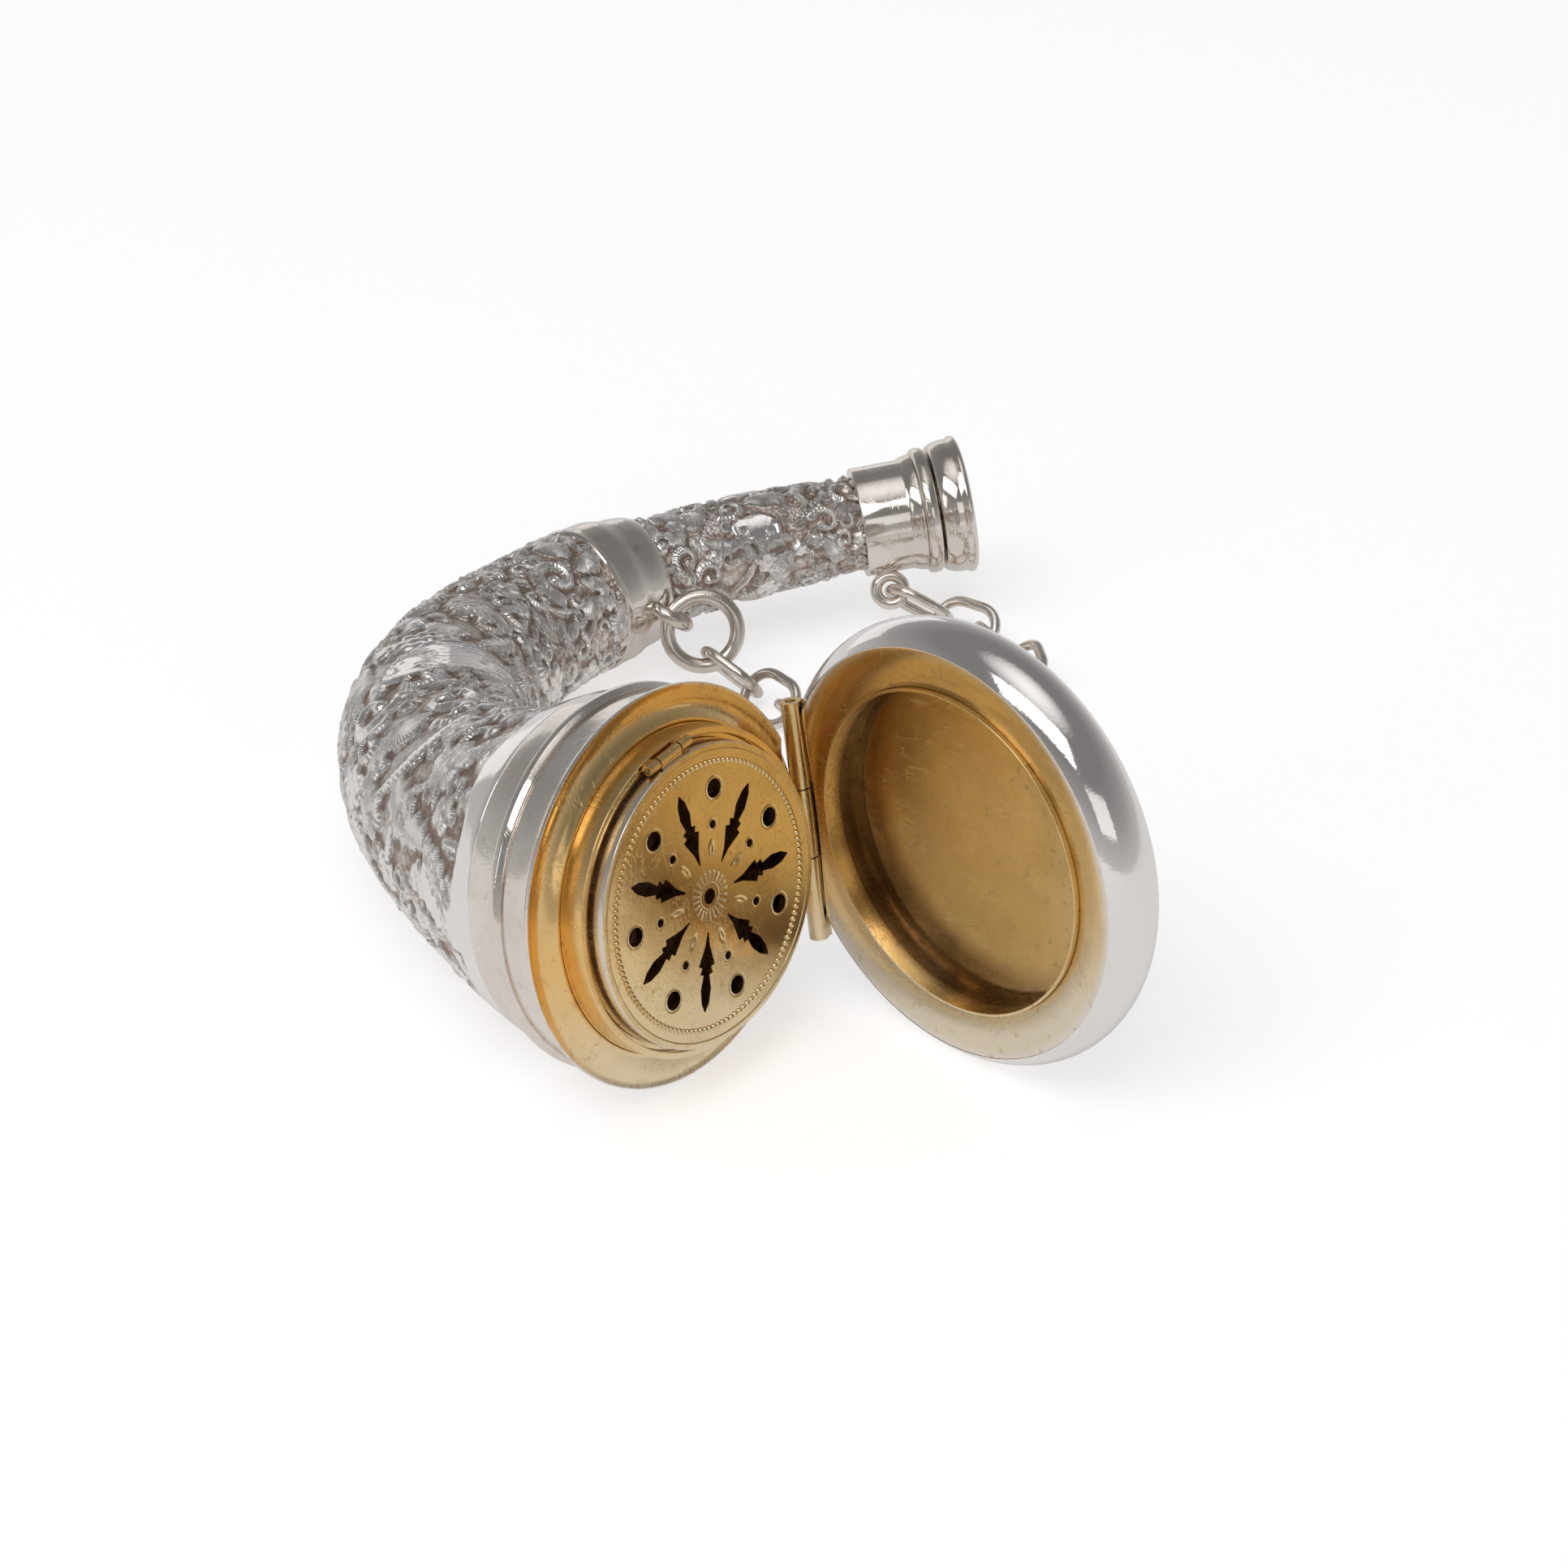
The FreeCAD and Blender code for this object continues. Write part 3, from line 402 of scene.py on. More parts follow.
SILVER = metal("silver_polished", (0.88, 0.82, 0.76), (0.80, 0.73, 0.67), (0.48, 0.38, 0.31), 0.09)
WIRE_SILVER = metal("silver_wire", (0.86, 0.80, 0.74), (0.70, 0.63, 0.56), (0.30, 0.22, 0.17), 0.16)
GILT = metal("gilt", (0.93, 0.61, 0.25), (0.80, 0.56, 0.26), (0.46, 0.27, 0.10), 0.17, 0.006, 7.0,
             (0.90, 0.79, 0.58))
PALE_GILT = metal("gilt_pale", (0.84, 0.62, 0.31), (0.72, 0.50, 0.23), DULL_GILT, 0.22, 0.005, 7.0,
                  PALE_LOW_GILT)
LINING_GILT = metal("gilt_lining", (0.88, 0.66, 0.35), (0.77, 0.58, 0.32), (0.46, 0.30, 0.14), 0.22,
                    0.003, 6.0, (0.84, 0.77, 0.64), 18.0)
PAN_GILT = metal("gilt_pan", (0.86, 0.65, 0.34), (0.74, 0.54, 0.27), (0.42, 0.27, 0.12), 0.2,
                 0.002, 9.0, PALE_LOW_GILT, 9.0)
PIN_METAL = metal("pin_metal", (0.62, 0.58, 0.53), (0.5, 0.46, 0.42), (0.3, 0.25, 0.2), 0.3)


def chased_metal():
    """Chased silver: bright on the raised work, brown and dull in the grooves, with punched
    matting on the ground and cut lines along the leaves and scrolls."""
    made = Finish("silver_chased")
    height = made.attribute("raised")
    hollow = made.attribute("hollow")
    cut = made.attribute("cut")
    smooth = made.attribute("smooth")
    soot = made.noise(0.8, 4.0, 0.7)
    dark = ((hollow * 1.5 + (soot - 0.5) * 0.9) * (1 - smooth * 0.9)).clamped()
    colour = made.blend(dark.step(0.5, 1.1), (0.94, 0.90, 0.87), (0.36, 0.26, 0.21))
    warm = made.noise(2.4, 3.0, 0.6)
    colour = made.blend(warm.step(0.52, 0.75) * (0.45 - smooth * 0.45), colour,
                        (0.78, 0.64, 0.54))
    lines = (cut * (2 * math.pi)).sin()
    punch = made.node("ShaderNodeTexVoronoi", {"feature": "F1"}, {
        "Vector": made.place, "Scale": 1000.0 / 0.3, "Randomness": 0.85}, output="Distance")
    matted = height.step(0.42, 0.12)
    relief = lines * 0.8 * (1 - smooth) * height.step(0.15, 0.4) + punch * 3.0 * matted
    relief = relief + made.noise(0.35, 3.0, 0.6) * 1.5 * (1 - smooth * 0.85)
    normal = made.bump(relief, 0.03)
    rough = 0.17 + dark * 0.25 + matted * 0.08 - smooth * 0.08
    return made.done(colour, rough.clamped(), 1.0, normal)


CHASED = chased_metal()
PETALS, FIRST_PETAL = 7, 76.0


def engraved_gilt():
    """The grille's gilding: a dashed rosette about the middle, seven punched ovals, an engraved
    line round each hole, all cut into the surface and dark at the bottom."""
    made = Finish("gilt_engraved")
    offset = made.node("ShaderNodeVectorMath", {"operation": "SUBTRACT"}, {
        0: made.place, 1: tuple((MOUTH[:3, 3] * METRE).tolist())})
    to_grille = turn("Z", -FIRST_PETAL)[:3, :3] @ MOUTH[:3, :3].T
    x, y = (made.node("ShaderNodeVectorMath", {"operation": "DOT_PRODUCT"}, {
        0: offset, 1: tuple((row / METRE).tolist())}, output="Value") for row in to_grille[:2])
    reach = (x * x + y * y).power(0.5)
    angle = made.node("ShaderNodeMath", {"operation": "ARCTAN2"}, {0: y, 1: x})
    fold = 2 * math.pi / PETALS
    folded = made.node("ShaderNodeMath", {"operation": "WRAP"}, {
        0: angle, 1: fold / 2, 2: -fold / 2})
    along = reach * made.node("ShaderNodeMath", {"operation": "COSINE"}, {0: folded})
    across = reach * folded.sin()

    def ring(centre, radius, wide, stretch=1.0):
        """1 on a thin circle or oval about a point on the folded axis."""
        far = ((along - centre) / stretch) * ((along - centre) / stretch) + across * across
        return 1 - ((far.power(0.5) - radius).absolute() / wide).clamped()

    dashes = (angle * 22.0).sin().step(-0.2, 0.5)
    dashes = dashes * (1 - ((reach - 1.3).absolute() / 0.36).power(4.0).clamped())
    line = 1 - ((reach - 0.86).absolute() / 0.07).clamped()
    rosette = dashes.greatest(line)
    oval = ring(3.05, 0.16, 0.13, 2.3)
    cut = rosette.greatest(oval).greatest(ring(6.9, 0.74, 0.09)).greatest(
        ring(4.6, 0.36, 0.07) * 0.6)
    cloud = made.noise(6.0, 4.0, 0.6)
    spots = made.noise(0.9, 4.0, 0.65, 0.5)
    rubs = made.scratches()
    colour = made.blend(cloud.step(0.38, 0.66), (0.90, 0.66, 0.32), (0.74, 0.52, 0.24))
    # Paler low down, towards the table.
    paler_low_down = (made.height_above_table() + (cloud - 0.5) * 9.0).step(14.0, 5.0)
    colour = made.blend(paler_low_down * 0.6, colour, (0.86, 0.74, 0.52))
    colour = made.blend(spots.step(0.56, 0.78) * 0.55, colour, DULL_GILT)
    colour = made.blend(rosette * 0.45, colour, (0.92, 0.84, 0.70))
    rough = 0.2 + rubs * 0.12 + cut * 0.1
    height = cut * -7.0 + rubs * -0.5 + made.noise(2.6, 2.0) * 3.0 + made.noise(0.22, 3.0) * 0.5
    return made.done(colour, rough.clamped(), 1.0, made.bump(height, 0.009))


ENGRAVED_GILT = engraved_gilt()


# Raised and chased work on the horn and the lid
RELIEF = 0.72
TALLEST = 0.43
LONGEST_MOTIF = 2.4


class Chasing:
    """Motifs laid on a sheet of rows by columns. Each works out its own height over the sheet,
    and where motifs overlap the higher one shows."""

    def __init__(self, along, angle, radius):
        self.along, self.angle, self.radius = along, angle, radius
        shape = (len(along), len(angle))
        self.height = np.zeros(shape)
        self.cut = np.zeros(shape)
        self.smooth = np.zeros(shape)

    def lay(self, motif, along, degrees, facing, size, **options):
        """Lay a motif with its own x and y, in millimetres, at a place on the sheet."""
        rows = np.abs(self.along - along) < size * LONGEST_MOTIF
        if not rows.any():
            return
        offset = (self.angle - np.radians(degrees) + np.pi) % FULL_TURN - np.pi
        x = (self.along[rows] - along)[:, None] + 0 * offset
        y = offset[None] * self.radius[rows][:, None]
        turned_by = math.radians(facing)
        cosine, sine = math.cos(turned_by), math.sin(turned_by)
        height, cut, smooth = motif(x * cosine + y * sine, y * cosine - x * sine, size, **options)
        old = self.height[rows]
        wins = height > old
        self.height[rows] = np.where(wins, height, old)
        self.cut[rows] = np.where(wins, cut, self.cut[rows])
        self.smooth[rows] = np.where(wins, smooth, self.smooth[rows])

    def finished(self):
        """The height in millimetres, with the steps between motifs softened by averaging
        neighbours."""
        for axis in (0, 1):
            ahead, behind = np.roll(self.height, -1, axis), np.roll(self.height, 1, axis)
            if axis == 0:
                ahead[-1], behind[0] = self.height[-1], self.height[0]
            self.height = 0.5 * self.height + 0.25 * (ahead + behind)
        return self.height * RELIEF


def dome(distance):
    """A rounded cross-section: 1 in the middle and 0 where the distance reaches 1."""
    return np.sqrt(np.clip(1 - distance ** 2, 0, 1))


def leaf(x, y, size, curl=0.25, lobes=5, width=0.36, lift=0.62):
    """A leaf from x = 0 to twice its size: the edge's width is a rounded hump cut into lobes that
    point forwards, and veins run slantwise from a sunk midrib."""
    length = size * 2
    t = x / length
    inside = (t > 0) & (t < 1)
    t = np.clip(t, 0.001, 0.999)
    y = y - curl * size * np.sin(np.pi * t)
    lobe = (t * lobes) % 1
    half = size * width * np.sin(np.pi * t ** 0.8) ** 0.7 * (1.12 - 0.42 * lobe ** 1.4)
    across = np.abs(y) / half
    rib = np.exp(-(y / (0.07 * size)) ** 2)
    vein = np.cos(2 * np.pi * (t * lobes * 2 - across * 0.9))
    height = lift * (0.45 + 0.55 * dome(across * 0.96)) * (0.75 + 0.25 * np.sin(np.pi * t))
    height = height - 0.16 * rib + 0.055 * vein * (across > 0.12)
    height = np.where(inside & (across < 1), height, 0)
    return height, t * lobes * 6 - across * 2.4, np.zeros_like(x)


def scroll(x, y, size, sweep=300, ribs=11, hand=1, lift=0.66, width=0.3, plain=False):
    """A C-shaped scroll: a band whose radius shrinks along a spiral and ends in a round boss, with
    a rolled inner edge and a ribbed outer edge."""
    y = y * hand
    reach, angle = np.hypot(x, y), np.arctan2(y, x) % (2 * np.pi)
    end = math.radians(sweep)
    off_band = 9.0
    best = np.full(x.shape, off_band)
    at = np.zeros_like(x)
    for lap in range(int(sweep // 360) + 1):
        here = angle + lap * 2 * np.pi
        line = size * np.exp(-here / end * 1.25)
        band = size * width * (1.05 - 0.6 * here / end)
        signed = np.where(here <= end, (reach - line) / band, off_band)
        nearer = np.abs(signed) < np.abs(best)
        best, at = np.where(nearer, signed, best), np.where(nearer, here, at)
    across = np.abs(best)
    roll = 0.62 + 0.38 * np.cos(best * np.pi * 1.35 + 0.9)
    rib = 0.5 + 0.5 * np.cos(at * ribs * (1 + 0.1 * at))
    flute = 0.0 if plain else 0.24 * np.clip(best + 0.25, 0, 1) * rib
    height = np.where(across < 1, lift * (0.4 + 0.6 * roll) * dome(across * 0.97) ** 0.6 - flute, 0)
    eye = size * math.exp(-1.25)
    eye_x, eye_y = eye * math.cos(end), eye * math.sin(end)
    boss = np.hypot(x - eye_x, y - eye_y) / (size * width * 0.75)
    height = np.maximum(height, np.where(boss < 1, lift * 1.12 * dome(boss) ** 0.7, 0))
    return height, at * ribs / 3, np.full(x.shape, 0.75 if plain else 0.15)


def flower(x, y, size, petals=5, lift=0.7):
    """A flower seen from above: petals that cup up to their edges, and a seeded boss."""
    reach, angle = np.hypot(x, y) / size, np.arctan2(y, x)
    petal = np.abs(np.cos(angle * petals / 2))
    edge = 0.6 + 0.4 * petal ** 0.5
    across = reach / edge
    height = lift * (0.42 + 0.5 * np.clip(across, 0, 1)) * dome(across ** 3) ** 0.7
    height = height * (0.72 + 0.28 * petal ** 0.4)
    boss = reach / 0.3
    seeds = 0.05 * np.cos(x * 14 / size) * np.cos(y * 14 / size)
    height = np.where(boss < 1, lift * (0.55 + 0.4 * dome(boss)) + seeds, height)
    return np.where(across < 1, height, 0), angle * petals * 0.9, np.zeros_like(x)


def shell(x, y, size, ribs=9, spread=75, lift=0.66):
    """A fan of ribs that spread from one point, longest in the middle, with a scalloped edge."""
    reach = np.hypot(x, y) / (size * 1.7)
    angle = np.arctan2(y, x)
    limit = math.radians(spread)
    turn_share = angle / limit
    rib = np.cos(turn_share * np.pi * ribs) * 0.5 + 0.5
    edge = (0.72 + 0.28 * np.cos(turn_share * 1.3)) * (0.93 + 0.07 * rib)
    inside = (np.abs(turn_share) < 1) & (reach < edge)
    height = lift * (0.3 + 0.7 * np.sin(np.pi * np.clip(reach / edge, 0, 1) * 0.8))
    height = height * (0.66 + 0.34 * rib) * dome(turn_share ** 3 * 0.9)
    return np.where(inside, height, 0), turn_share * ribs * 1.5, np.zeros_like(x)


def berries(x, y, size, lift=0.62):
    """A cluster of small round bosses, one in the middle and six about it."""
    height = np.zeros_like(x)
    for number in range(7):
        spread = 0 if number == 0 else 0.62
        angle = number * math.pi / 3
        gap = np.hypot(x - size * spread * math.cos(angle), y - size * spread * math.sin(angle))
        height = np.maximum(height, np.where(gap < size * 0.33,
                                             lift * (0.35 + 0.65 * dome(gap / size / 0.33)), 0))
    return height, np.zeros_like(x), np.full(x.shape, 0.3)


def panel(x, y, size, stretch=1.8, lift=0.5):
    """A smooth raised panel with a waved outline and a narrow rolled border."""
    angle = np.arctan2(y, x / stretch)
    edge = size * (1 + 0.13 * np.cos(2 * angle + 0.6) + 0.1 * np.sin(3 * angle))
    reach = np.hypot(x / stretch, y) / edge
    border = np.exp(-((reach - 0.94) / 0.055) ** 2) * 0.17
    height = np.where(reach < 1, lift * (0.82 + 0.18 * dome(reach)) + border, 0)
    return height, np.zeros_like(x), np.where(reach < 0.88, 1.0, 0.4)


def stem(x, y, size, curl=0.5, lift=0.55):
    """A long tapering stalk with a reeded surface, bent into an arc."""
    length = size * 2.2
    t = x / length + 0.5
    inside = (t > 0) & (t < 1)
    t = np.clip(t, 0, 1)
    y = y - curl * size * (1 - (2 * t - 1) ** 2)
    half = size * 0.17 * (0.35 + 0.65 * np.sin(np.pi * t))
    across = np.abs(y) / half
    height = lift * (0.5 + 0.5 * dome(across)) + 0.05 * np.cos(t * size * 16)
    return np.where(inside & (across < 1), height, 0), t * size * 5, np.full(x.shape, 0.3)


def scatter(chasing, places, count, sizes, bounds, spacing=0.8):
    """Fill the sheet with motifs at random, each clear enough of the ones before. A leaf grows
    from its foot, so it starts one size back."""
    motifs = (leaf, leaf, scroll, scroll, scroll, flower, shell, berries, stem)
    for _ in range(count):
        along = rng.uniform(*bounds)
        degrees = rng.uniform(0, 360)
        size = np.interp(along, *sizes) * rng.uniform(0.75, 1.2)
        radius = np.interp(along, chasing.along, chasing.radius)
        facing, pick, hand = rng.uniform(0, 360), rng.integers(len(motifs)), rng.integers(2)
        gaps = [math.hypot(along - other[0], radius * math.radians(
            (degrees - other[1] + 180) % 360 - 180)) - spacing * (size + other[2])
                for other in places]
        if min(gaps, default=1) < 0:
            continue
        places.append((along, degrees, size))
        motif = motifs[pick]
        options = {}
        if motif is scroll:
            options = {"hand": 1 if hand else -1, "sweep": 250 + 200 * rng.random()}
        elif motif in (leaf, stem):
            options = {"curl": 0.7 * rng.random() - 0.35}
        if motif is leaf:
            along -= size * math.cos(math.radians(facing))
            degrees -= math.degrees(size * math.sin(math.radians(facing)) / radius)
        chasing.lay(motif, along, degrees, facing, size, **options)


BODY_RADII = np.array(((6.55, 11.5), (8.3, 10.85), (10.0, 10.15), (12.4, 9.3), (15.0, 8.65),
                       (18.0, 8.05), (21.0, 7.6), (28.0, 6.95), (36.0, 6.7), (44.0, 6.25),
                       (52.0, 5.5), (58.8, 5.3))).T
NECK_RADII = np.array(((63.6, 4.25), (66.5, 4.05), (70.0, 3.95), (76.0, 3.8), (81.4, 3.45))).T
GROUND_DROP = 0.32
WALL = 0.9


def hollows(height, axes):
    """How deep each place lies, 0 to 1: low ground, and ground lower than what is round it."""
    blurred = height
    for _ in range(3):
        shifted = [np.roll(blurred, way, axis) for axis in axes for way in (2, -2)]
        blurred = (blurred + sum(shifted)) / (1 + len(shifted))
    return np.clip(0.42 + (blurred - height) * 3.0 - height * 0.8, 0, 1)


def chased_tube(node, radii, rows, columns, motifs, sizes, bounds, count, plain_to):
    """A tube on the horn's line whose outer radius is the ground's plus the chased height. It is
    plain up to a waved edge. The named motifs are laid first, then as many others as fit."""
    along = np.linspace(radii[0, 0], radii[0, -1], rows)
    angle = round_about(columns)
    fine = np.interp(along, *radii)
    kernel = np.ones(9) / 9
    fine = np.convolve(np.pad(fine, 4, "edge"), kernel, "valid")
    chasing = Chasing(along, angle, fine)
    places = []
    for motif, distance, degrees, facing, size, options in motifs:
        chasing.lay(motif, distance, degrees, facing, size, **options)
        places.append((distance, degrees, size * 0.85))
    scatter(chasing, places, count, sizes, bounds)
    scatter(chasing, places, count, (sizes[0], [0.55 * size for size in sizes[1]]), bounds, 0.62)
    height = chasing.finished()
    height = height + 0.008 * rng.normal(size=height.shape)
    edge = plain_to + 0.3 * np.sin(3 * angle + 1) + 0.22 * np.sin(8 * angle)
    chased = np.clip((along[:, None] - edge) / 0.3, 0, 1)
    height = GROUND_DROP * (1 - chased) + height * chased
    smooth = 1 - chased + chasing.smooth * chased
    outer = fine[:, None] - GROUND_DROP + height
    inner_rows = slice(None, None, -12)
    inner = np.tile((fine - WALL)[inner_rows, None], (1, columns))
    points = np.vstack([along_horn(along, angle, outer),
                        along_horn(along[inner_rows], angle, inner)])
    values = {"raised": height / TALLEST, "hollow": hollows(height, (0, 1)) * chased,
              "cut": chasing.cut * chased, "smooth": smooth}
    values = {key: np.vstack([grid, 0 * inner]) for key, grid in values.items()}
    build(node + "_chased", points, "horn", CHASED, (node,), "chased_silver", ring=True,
          values=values, sharp=180)


BODY_MOTIFS = (
    (panel, 32.6, 288, 78, 3.1, {"stretch": 1.5}),
    (scroll, 12.6, 256, 200, 2.6, {"sweep": 300}),
    (scroll, 22.8, 272, 40, 2.5, {"sweep": 330, "plain": True}),
    (scroll, 27.7, 233, 100, 2.7, {"sweep": 360, "plain": True}),
    (flower, 12.8, 238, 10, 2.2, {}),
    (leaf, 18.0, 224, 205, 3.9, {"curl": 0.2, "lobes": 7, "width": 0.42}),
    (leaf, 12.0, 207, 235, 3.0, {"curl": -0.2, "lobes": 6}),
    (stem, 18.8, 238, 105, 4.0, {"curl": 0.35}),
    (panel, 9.8, 186, 60, 1.7, {"stretch": 1.6}),
    (scroll, 53.6, 306, 120, 2.3, {"sweep": 400, "plain": True}),
    (leaf, 40.0, 330, 150, 2.8, {"lobes": 6}),
    (leaf, 37.0, 305, 20, 2.6, {"lobes": 6}),
    (shell, 44.5, 292, 190, 2.0, {}),
    (scroll, 17.0, 290, 150, 2.3, {}),
    (leaf, 24.0, 300, 60, 2.7, {}),
    (flower, 20.0, 200, 0, 2.0, {"petals": 6}),
)
NECK_MOTIFS = (
    (scroll, 66.2, 335, 90, 1.6, {"sweep": 330}),
    (leaf, 68.0, 322, 10, 1.9, {}),
    (panel, 72.6, 320, 20, 1.25, {"stretch": 1.4}),
    (scroll, 78.0, 330, 200, 1.5, {}),
    (leaf, 75.0, 338, 160, 1.6, {}),
)
chased_tube("horn_body", BODY_RADII, rows=446, columns=212, motifs=BODY_MOTIFS,
            sizes=((6, 14, 30, 60), (2.3, 2.3, 2.0, 1.5)), bounds=(8.6, 58.4), count=5000,
            plain_to=8.3)
chased_tube("horn_neck", NECK_RADII, rows=150, columns=168, motifs=NECK_MOTIFS,
            sizes=((62, 82), (1.35, 1.15)), bounds=(64.0, 81.2), count=2500, plain_to=63.0)

# Plain band, ruled between circles: distance along the horn, and radius
BAND = np.array(((58.25, 5.0), (58.3, 5.36), (58.42, 5.45), (58.6, 5.45), (58.72, 5.38),
                 (59.2, 5.35), (60.4, 5.33), (60.9, 5.24), (61.4, 5.05), (62.0, 4.94), (62.7, 4.86),
                 (63.2, 4.76), (63.7, 4.6), (63.95, 4.45), (64.02, 4.3), (64.0, 3.8), (58.3, 4.2)))
BAND_ANGLE = round_about(200)
build("horn_band_plain", along_horn(
    BAND[:, 0], BAND_ANGLE, np.tile(BAND[:, 1:], (1, len(BAND_ANGLE)))), "horn", SILVER,
    ("horn_band",), "silver", ring=True)

# Mouth: collar, reeded wire, flange, grille frame and seat. The notch leaves room for the hinge
MOUTH_NOTCH = ((11.75, -9.0, -0.45), (14.5, 9.0, 2.6))
collar = turned("mouth_collar_turned", (
    (12.95, -0.3, 0), (12.4, -0.8, 0), (12.1, -3.0, 0), (11.95, -4.3, 0), (11.5, -6.6, 0),
    (11.1, -6.6, 0), (11.55, -4.3, 0), (11.7, -3.0, 0), (12.0, -0.9, 0), (12.7, -0.3, 0)),
    MOUTH, "horn", SILVER, ("mouth_collar",), "silver", fillet=0.25, sharp=60)
notched(collar, *MOUTH_NOTCH, MOUTH)
turned("mouth_reed", ((12.09, -3.1, 0), (12.2, -3.05, 0), (12.5, -3.45, 0), (12.45, -3.95, 0),
                      (12.03, -4.15, 0), (11.9, -4.1, 0), (11.9, -3.1, 0)),
       MOUTH, "horn", SILVER, ("reeded_wire",), "silver", fillet=0.2, sharp=60)
flange = turned("mouth_flange_turned", (
    (13.0, 0.0, 0), (10.85, 0.45, 0.40), (10.62, 0.45, 0), (10.62, 0.1, 0), (12.5, -0.3, -0.49),
    (13.0, -0.3, 0)), MOUTH, "horn", GILT, ("mouth_flange",), "gilt", fillet=0.08, sharp=50,
    bare=12.78)
notched(flange, *MOUTH_NOTCH, MOUTH)
turned("grille_frame_turned", (
    (9.8, 1.6, 0), (9.8, 3.25, 0), (9.35, 3.25, 0), (9.35, 1.6, 0)), MOUTH, "grille", PALE_GILT,
    ("grille_frame",), "gilt", fillet=0.1, sharp=60, bare=9.7)
turned("grille_seat_turned", (
    (10.6, -5.9, 0), (10.6, 2.2, 0), (10.15, 2.2, 0), (10.15, 1.5, 0), (9.5, 1.5, 0),
    (9.5, 1.2, 0), (10.15, 1.2, 0), (10.15, -5.9, 0)), MOUTH, "horn", GILT,
    ("grille_seat",), "gilt", fillet=0.07, sharp=50)


# Sponge behind the grille
def sponge():
    """A low crowned disc. Sine ripples in random directions are added up, and the surface sinks
    into pores where their sum is far from nothing."""
    rows, columns = 90, 220
    reach = np.linspace(0.02, 9.9, rows)
    angle = round_about(columns)
    x, y = reach[:, None] * np.cos(angle), reach[:, None] * np.sin(angle)
    ripple = np.zeros_like(x)
    for _ in range(24):
        way = rng.uniform(0, 2 * np.pi)
        pitch = rng.uniform(2.0, 6.5)
        ripple += np.sin((x * math.cos(way) + y * math.sin(way)) * pitch + rng.uniform(0, 6.3)) / 4
    top = 0.85 * (1 - (reach[:, None] / 14) ** 2) - 0.35 * np.clip(np.abs(ripple), 0, 1.4)
    under = np.full((1, columns), -5.45)
    points = put([np.vstack([x, x[-1:], x[:1]]), np.vstack([y, y[-1:], y[:1]]),
                  np.vstack([np.minimum(top, 0.8), under, under])], MOUTH)
    made = Finish("sponge_cells")
    cells = made.node("ShaderNodeTexVoronoi", {"feature": "F1"}, {
        "Vector": made.place, "Scale": 1400.0}, output="Distance")
    cloud = made.noise(1.6, 4.0, 0.7)
    colour = made.blend(cloud.step(0.3, 0.7), (0.20, 0.09, 0.055), (0.34, 0.18, 0.10))
    # Painted shade: the pits are darkened to near black, for the shadow inside the pores.
    colour = made.blend(cells.step(0.55, 0.15), colour, (0.06, 0.025, 0.02))
    finish = made.done(colour, 0.9, 0.0, made.bump(cells, 0.25))
    piece = build("sponge_celled", points, "horn", finish, ("sponge",), "sponge",
                  poles=(True, True), sharp=180)


sponge()


# Milled border of the grille, a ring of small beads
def beads(name, radius, size, count, height, placement, body, finish, nodes, slot):
    """Low round beads set side by side on a circle: each is a cap of a ball on a short skirt."""
    sides = 8
    rise = np.linspace(0.06, np.pi / 2, 4)
    around = round_about(sides)
    x = np.cos(rise)[:, None] * np.cos(around)
    y = np.cos(rise)[:, None] * np.sin(around)
    z = np.repeat(np.sin(rise)[:, None], sides, 1)
    cap = np.stack([x, y, z], -1).reshape(-1, 3) * size
    skirt = cap[:sides] * (1, 1, 0) - (0, 0, size * 0.4)
    one = np.vstack([skirt, cap])
    corner = np.arange(len(one)).reshape(-1, sides)
    following = np.roll(corner, -1, 1)
    quads = np.stack([corner[:-1], following[:-1], following[1:], corner[1:]], -1).reshape(-1, 4)
    angle = round_about(count)
    cosine, sine = np.cos(angle)[:, None], np.sin(angle)[:, None]
    out, aside = one[:, 0] + radius, one[:, 1]
    points = put([out * cosine - aside * sine, out * sine + aside * cosine,
                  np.broadcast_to(one[:, 2] + height, (count, len(one)))], placement)
    first = (np.arange(count) * len(one))[:, None]
    faces = (quads[None] + first[:, :, None]).reshape(-1, 4).tolist()
    faces += (np.arange(sides)[::-1] + first).tolist()
    mesh = bpy.data.meshes.new(name)
    mesh.from_pydata(points.reshape(-1, 3) * METRE, [], faces)
    mesh.validate()
    place(name, mesh, body, finish, nodes, slot, 60)


beads("grille_border_beads", 8.63, 0.2, 132, 3.2, MOUTH, "grille", PALE_GILT, ("grille_border",),
      "gilt")

# Lid: shell, lining, bezel and pan. The notch leaves room for the hinge
SHELL_NOTCH = ((11.75, -9.0, -0.5), (16.5, 9.0, 1.15))


